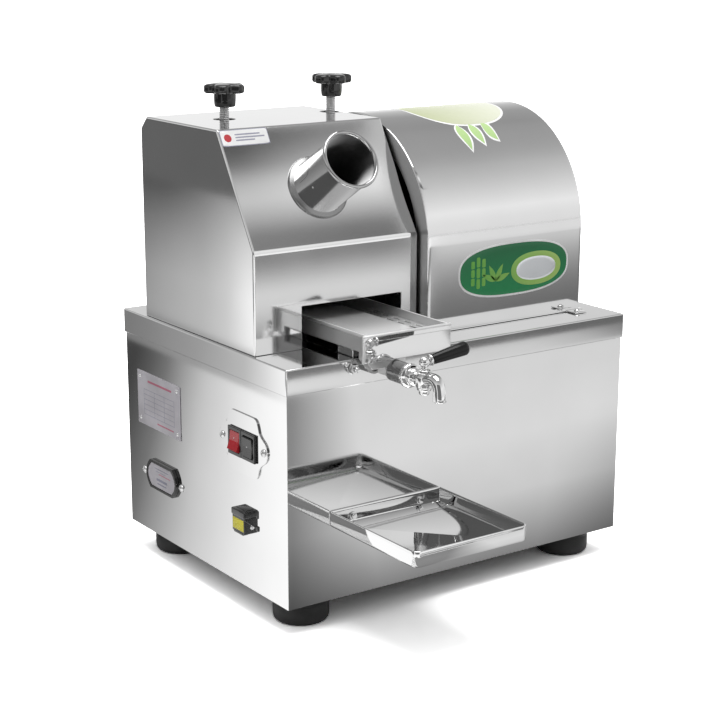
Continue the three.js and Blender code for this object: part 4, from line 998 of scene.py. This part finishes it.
def cover_film():
    """A green oval with three canes, leaves and a bare window."""
    node = "arched_cover"
    a, b = 110, 363.5
    window_a, window_b = a + 33, b - 3
    film("cover_film_border", node, [oval(a, b, 83, 32, 2.6)], on_cover_front, BORDER, WHITE)
    film("cover_film_field", node, [oval(a, b, 80.6, 29.6, 2.6)], on_cover_front, FIELD, DARK_GREEN)
    motif = [oval(window_a, window_b, 38, 20, 2.2)]
    for offset, height in ((-62, 30), (-54, 38), (-46, 33)):
        for share in (-1 / 3, 0, 1 / 3):
            motif.append(oval(a + offset, b + height * share, 2.6, height / 6 - 0.5, 5, 24))
    motif += [leaf(a - 28, b - 12, 22, 7, turn) for turn in (20, 62, 118, 155)]
    film("cover_film_motif", node, motif, on_cover_front, PRINT, LIGHT_GREEN)
    film("cover_film_window", node, [oval(window_a, window_b, 30, 14, 2.2)], on_cover_front, WINDOW, SILVER)


def top_film():
    """An olive oval on the arch, with three leaves at its front edge."""
    node = "arched_cover"
    a, b = 108, 86
    film("top_film_border", node, [oval(a, b, 68, 24.5, 2.3)], on_arch, BORDER, WHITE)
    film("top_film_field", node, [oval(a, b, 65.5, 23.3, 2.3)], on_arch, FIELD, OLIVE)
    stems = ((80, 262, 20), (98, 280, 17), (116, 300, 17))
    fringe = [leaf(x, 63.5, length, 17, turn) for x, turn, length in stems]
    leaves = [leaf(x, 63, length - 2.2, 12.5, turn) for x, turn, length in stems]
    film("top_film_leaf_borders", node, fringe, on_arch, FRINGE, WHITE)
    film("top_film_leaves", node, leaves, on_arch, LEAVES, PALE_GREEN)


slope_film()
cover_film()
top_film()


# Feet

def foot(node):
    top = box_of(node)[1].z
    profile = [(0, 0), (26, 0), (29.2, 0.8), (31.2, 3.2), (32, 7), (32, 20), (31.4, 21), (31.4, 22.4)]
    profile += [(31.9, 23.2), (31.9, 29), (31.2, 31), (29.6, 32), (22, 32), (22, top - 0.1), (0, top)]
    dress(node, lathe(bmesh.new(), profile, stand(foot_of(node)), 64), RUBBER)


for corner in ("front_left", "front_right", "rear_left", "rear_right"):
    foot("foot_" + corner)


# Drive and battery, inside

def motor():
    """Motor with cooling fins round its barrel and a fan cowl."""
    profile = [(0, 0), (44, 0), (46, 1.5), (46, 8), (43, 9.5)]
    for start in range(12, 88, 6):
        profile += [(42, start), (45.8, start + 0.6), (45.8, start + 2.4), (42, start + 3)]
    profile += [(43, 94), (44.5, 96), (44.5, 106), (41, 112), (37, 117.5), (0, 118)]
    middle = middle_of("motor")
    place = (box_of("motor")[0].x, middle.y, middle.z)
    dress("motor", lathe(bmesh.new(), profile, stand(place, (1, 0, 0), (0, 1, 0)), 48), PAINT)


def gearbox():
    low, high = box_of("gearbox")
    bm = bmesh.new()
    block(bm, low + Vector((2, 0, 0)), high - Vector((2, 0, 0)), 4)
    for x in (low.x, high.x - 5):
        block(bm, (x, low.y, low.z), (x + 5, high.y, high.z), 1.5)
    for y in (low.y + 8, high.y - 8):
        for z in (low.z + 8, high.z - 8):
            hex_head(bm, (low.x + 0.5, y, z), OUT, 4, 2.4)
    dress("gearbox", bm, IRON)


def battery():
    low, high = box_of("battery")
    size, middle = high - low, middle_of("battery")
    lid = high.z - 22
    bm = block(bmesh.new(), low, (high.x, high.y, lid), 3)
    block(bm, (low.x + 1, low.y + 1, lid - 1), (high.x - 1, high.y - 1, high.z - 6), 3)
    for share in (-0.3, 0.3):
        x = middle.x + share * size.x
        block(bm, (x - 12, high.y - 30, high.z - 7), (x + 12, high.y - 20, high.z - 1), 2)
    dress("battery", bm, BATTERY)
    posts = bmesh.new()
    for share in (-0.375, 0.375):
        place = (middle.x + share * size.x, middle.y - 0.3 * size.y, high.z - 6.5)
        lathe(posts, [(8, 0), (8, 3), (6, 5.4), (2.2, 5.6), (2.2, 6.4), (0, 6.5)], stand(place), 24)
    piece("battery_posts", posts, SATIN, "battery")


motor()
gearbox()
battery()


# Camera

FOCAL_MM = 86.825
EYE = (-1180.2, -1665.5, 760.9)
AZIMUTH, ELEVATION, ROLL = 34.91, 14.3, 0.11


def add_camera():
    data = bpy.data.cameras.new("camera")
    data.sensor_width = 36
    data.lens = FOCAL_MM
    data.clip_end = 50
    scene.camera = linked("camera", data)
    turn = rotation(-AZIMUTH, "Z") @ rotation(90 - ELEVATION, "X") @ rotation(ROLL, "Z")
    scene.camera.matrix_world = Matrix.Translation(at(*EYE)) @ turn


# Studio: a white floor and sky, and cards that only polished surfaces see

STEEL_SHARE = 0.75
BRIGHTEST = 1.5
# The grey of a patch on the housing card: a painted reflection of the pan's front plate
PLATE_REFLECTION_TONE = 222
FLAG_TONE = 105
WALL_TONE = 95
WALL_X = -1750
SLOPE_CARD_Y = -450
CARDS_NEAR = -1100
CARDS_FAR = -9000


def card_level(display):
    """The card brightness, over BRIGHTEST, that polished steel shows as a grey of 0 to 255."""
    share = display / 255
    linear = ((share + 0.055) / 1.055) ** 2.4
    return linear / STEEL_SHARE / BRIGHTEST


def tone_curve(sh, factor, stops):
    """Greys along a factor, given as (place, grey that the steel shows)."""
    stops = sorted(stops)
    start, end = stops[0][0], stops[-1][0]
    levels = [((place - start) / (end - start), tint(card_level(tone))) for place, tone in stops]
    return sh.add("ShaderNodeRGBToBW", Color=sh.ramp(sh.step(factor, start, end), levels)).outputs[0]


def machine_places(sh):
    """X, Y and Z sockets in machine millimetres."""
    coords = sh.nodes.new("ShaderNodeTexCoord").outputs["Object"]
    scaled = sh.add("ShaderNodeMapping", Vector=coords, Location=-ZERO / MM, Scale=(1 / MM, 1 / MM, 1 / MM))
    return sh.add("ShaderNodeSeparateXYZ", Vector=scaled.outputs[0]).outputs


def card(name, corners, tone):
    """A studio card that only glossy rays see. tone builds its brightness from x, y and z."""
    mesh = bpy.data.meshes.new(name)
    mesh.from_pydata([at(*corner) for corner in corners], [], [(0, 1, 2, 3)])
    obj = linked(name, mesh)
    material = bpy.data.materials.new(name)
    material.use_nodes = True
    sh = Shader(material.node_tree)
    sh.nodes.clear()
    level = tone(sh, *machine_places(sh))
    glow = sh.add("ShaderNodeEmission", Strength=sh.times(level, BRIGHTEST))
    sh.add("ShaderNodeOutputMaterial", Surface=glow.outputs[0])
    material.cycles.emission_sampling = "NONE"
    mesh.materials.append(material)
    obj.visible_camera = obj.visible_diffuse = obj.visible_transmission = obj.visible_shadow = False


def weighted(sh, x, y, weight_x, weight_y):
    return sh.math("ADD", sh.times(x, weight_x), sh.times(y, weight_y))


# Tones by the place on each card, as (millimetres, grey that the steel shows)
# The first list darkens towards the cabinet's foot: a painted shadow of the machine on the floor, which the
# front panel mirrors
FRONT_FLOOR_SHADOWED = [(-185, 90), (-286, 150), (-432, 203), (-640, 219), (-905, 213), (-1015, 214), (-1100, 214)]
SKIRT_FRONT = [(300, 224), (391, 219), (744, 207), (856, 204), (969, 183), (1073, 140), (1150, 125)]
FRONT_HOUSING = [(-1100, 100), (-1177, 112), (-1297, 171), (-1430, 205), (-1576, 218), (-1696, 184),
                 (-1825, 137), (-1927, 115), (-2020, 114), (-2150, 245)]
FRONT_ARCH = [(-1100, 100), (-1241, 108), (-1366, 121), (-1503, 142), (-1655, 167), (-1806, 196),
              (-2000, 216), (-2600, 222)]
LEFT_PANEL = [(-320, 254), (-295, 252), (-250, 238), (-215, 220), (-170, 195), (-130, 155), (-100, 115),
              (-70, 88), (-40, 65)]
LEFT_SKIRT = [(-320, 247), (-302, 241), (-272, 212), (-238, 183), (-196, 170), (-153, 154), (-102, 142),
              (-52, 129), (-9, 121)]
LEFT_NEAR = [(-290, 252), (-273, 242), (-234, 205), (-180, 185), (-125, 172), (-77, 157), (-20, 140)]
LEFT_FAR = [(-290, 175), (-273, 170), (-234, 160), (-180, 130), (-125, 106), (-77, 86), (-20, 80)]
SLOPE_LEFT = [(785, 118), (804, 121), (833, 127), (872, 176), (911, 201), (952, 183), (993, 114),
              (1036, 83), (1085, 84)]
SLOPE_RIGHT = [(785, 100), (804, 107), (833, 119), (872, 186), (911, 229), (952, 246), (993, 205),
               (1036, 163), (1085, 110)]


def front_tone(sh, x, y, z):
    """The floor before the cabinet, with a painted shadow of the machine near its foot, and darker where
    its left and right edges mirror it.
    """
    left = sh.span(weighted(sh, x, y, 1, 0.638), 0.36, 1, -347.468, -227.468)
    right = sh.span(weighted(sh, x, y, 1, 0.946), 1, 0.62, -60, 60)
    right = sh.blend(sh.step(y, -700, -300), 1, right)
    panel = sh.times(sh.times(tone_curve(sh, y, FRONT_FLOOR_SHADOWED), left), right)
    return sh.blend(sh.step(y, -1012, -1022), panel, tone_curve(sh, x, SKIRT_FRONT))


def housing_tone(sh, x, y, z):
    """The floor that the housing mirrors, with a light patch that paints a reflection of the pan's front
    plate into the housing.
    """
    across = weighted(sh, x, y, 1, 0.706)
    wide = sh.times(sh.step(across, -322.49, -306.49), sh.step(across, -92.49, -110.49))
    deep = sh.times(sh.step(y, -1145, -1155), sh.step(y, -1345, -1335))
    return sh.blend(sh.times(wide, deep), tone_curve(sh, y, FRONT_HOUSING), card_level(PLATE_REFLECTION_TONE))


def arch_tone(sh, x, y, z):
    return tone_curve(sh, y, FRONT_ARCH)


def left_tone(sh, x, y, z):
    """The floor at the left: bands for the cabinet, the skirt and the housing, from near to far."""
    bands = weighted(sh, x, y, 0.85, 0.53)
    far_bands = weighted(sh, x, y, 0.862, 0.507)
    near_tones, far_tones = tone_curve(sh, far_bands, LEFT_NEAR), tone_curve(sh, far_bands, LEFT_FAR)
    housing = sh.blend(sh.step(x, -1100, -1700), near_tones, far_tones)
    outer = sh.blend(sh.step(x, -865, -880), tone_curve(sh, bands, LEFT_SKIRT), housing)
    return sh.blend(sh.step(x, -732, -745), tone_curve(sh, bands, LEFT_PANEL), outer)


def slope_tone(sh, x, y, z):
    rightward = sh.step(weighted(sh, x, z, 1, -0.35), -199.4, 45.6)
    return sh.blend(rightward, tone_curve(sh, z, SLOPE_LEFT), tone_curve(sh, z, SLOPE_RIGHT))


def plain_tone(display):
    return lambda sh, x, y, z: sh.math("ADD", card_level(display), 0)


def split(y):
    """Where the floor for the housing ends and the floor for the cover starts."""
    return -104 - 0.749 * y


def floor_card(name, corners, tone):
    card(name, [(x, y, 1) for x, y in corners], tone)


def add_cards():
    near, far = CARDS_NEAR, CARDS_FAR
    floor_card("front_card", [(-900, -186), (2600, -186), (2600, near), (-900, near)], front_tone)
    split_near, split_far = (split(near), near), (split(far), far)
    floor_card("housing_card", [(-200, near), split_near, split_far, (-200, far)], housing_tone)
    floor_card("arch_card", [split_near, (3200, near), (9500, far), split_far], arch_tone)
    floor_card("left_card", [(-245, -500), (-245, 3600), (-2500, 3600), (-2500, -500)], left_tone)
    slope = [(x, SLOPE_CARD_Y, z) for x, z in ((40, 785), (330, 785), (430, 1085), (120, 1085))]
    card("slope_card", slope, slope_tone)
    flag = [(-2300, -1200, 60), (-300, -2100, 60), (-300, -2100, 1500), (-2300, -1200, 1500)]
    card("dark_flag", flag, plain_tone(FLAG_TONE))
    wall = [(WALL_X, y, z) for y, z in ((-500, 0), (3600, 0), (3600, 700), (-500, 700))]
    card("dark_wall", wall, plain_tone(WALL_TONE))


def ray_kinds(sh):
    """Sockets that are 1 for rays the eye follows, and 1 for mirrored rays."""
    path = sh.nodes.new("ShaderNodeLightPath").outputs
    return sh.math("MAXIMUM", path["Is Camera Ray"], path["Is Transmission Ray"]), path["Is Glossy Ray"]


# The floor's own grey, what mirrors add to it, and what the eye adds near and far, in metres
FLOOR_GREY = 0.45
FLOOR_MIRRORED = 0.9
FLOOR_NEAR = 0.45
FLOOR_FAR = 2.5
FADE_START = 1.9
FADE_END = 2.9
FLOOR_HALF = 30


def add_floor():
    mesh = bpy.data.meshes.new("floor")
    corners = ((-1, -1), (1, -1), (1, 1), (-1, 1))
    mesh.from_pydata([(x * FLOOR_HALF, y * FLOOR_HALF, 0) for x, y in corners], [], [(0, 1, 2, 3)])
    material, sh, surface = new_material("floor", tint(0.8), 0, 0.7)
    seen, mirrored = ray_kinds(sh)
    far = sh.add("ShaderNodeVectorMath", Vector=sh.places())
    far.operation = "LENGTH"
    reach = sh.span(far.outputs["Value"], FADE_START, FADE_END, FLOOR_NEAR, FLOOR_FAR)
    white = sh.math("ADD", sh.times(seen, reach), sh.times(mirrored, FLOOR_MIRRORED))
    total = sh.math("ADD", white, FLOOR_GREY)
    tone = sh.add("ShaderNodeCombineColor", Red=total, Green=total, Blue=total)
    sh.wire(surface, Base_Color=tone.outputs[0], Specular_IOR_Level=0)
    mesh.materials.append(material)
    linked("floor", mesh)


LAMP_PLACE = Vector((0, -0.15, 2.6))
LAMP_TARGET = Vector((0, 0, 0.2))
LAMP_SIZE = 1.8
LAMP_WATTS = 45


def add_lamp():
    data = bpy.data.lights.new("overhead", "AREA")
    data.shape = "RECTANGLE"
    data.size = data.size_y = LAMP_SIZE
    data.energy = LAMP_WATTS
    linked("overhead", data).matrix_world = stand(LAMP_PLACE, LAMP_PLACE - LAMP_TARGET)


WORLD_FRONT = [(0, 222), (0.12, 226), (0.25, 235), (0.5, 207), (0.69, 180), (0.79, 161), (1, 150)]
WORLD_BACK = [(0, 222), (0.12, 223), (0.25, 190), (0.5, 154), (0.69, 147), (0.79, 150), (1, 150)]
# Diffuse light by the height of its direction, from the horizon up
SKY_LOW = 0.08
SKY_HIGH = 1
SKY_START = 0.1


def add_world():
    """White to the eye, plain for diffuse light, and graded for polished surfaces."""
    world = bpy.data.worlds.new("studio")
    scene.world = world
    world.use_nodes = True
    sh = Shader(world.node_tree)
    direction = sh.nodes.new("ShaderNodeTexCoord").outputs["Generated"]
    x, y, z = sh.add("ShaderNodeSeparateXYZ", Vector=direction).outputs
    front, back = tone_curve(sh, z, WORLD_FRONT), tone_curve(sh, z, WORLD_BACK)
    levels = sh.blend(sh.step(y, -0.35, 0.35), front, back)
    seen, mirrored = ray_kinds(sh)
    plain = sh.blend(seen, sh.span(z, SKY_LOW, SKY_HIGH, SKY_START, 1), 1)
    strength = sh.blend(mirrored, plain, sh.times(levels, BRIGHTEST))
    sh.wire(sh.nodes["Background"], Color=(1, 1, 1, 1), Strength=strength)


add_camera()
add_floor()
add_cards()
add_world()
add_lamp()
scene.view_settings.view_transform = "Standard"
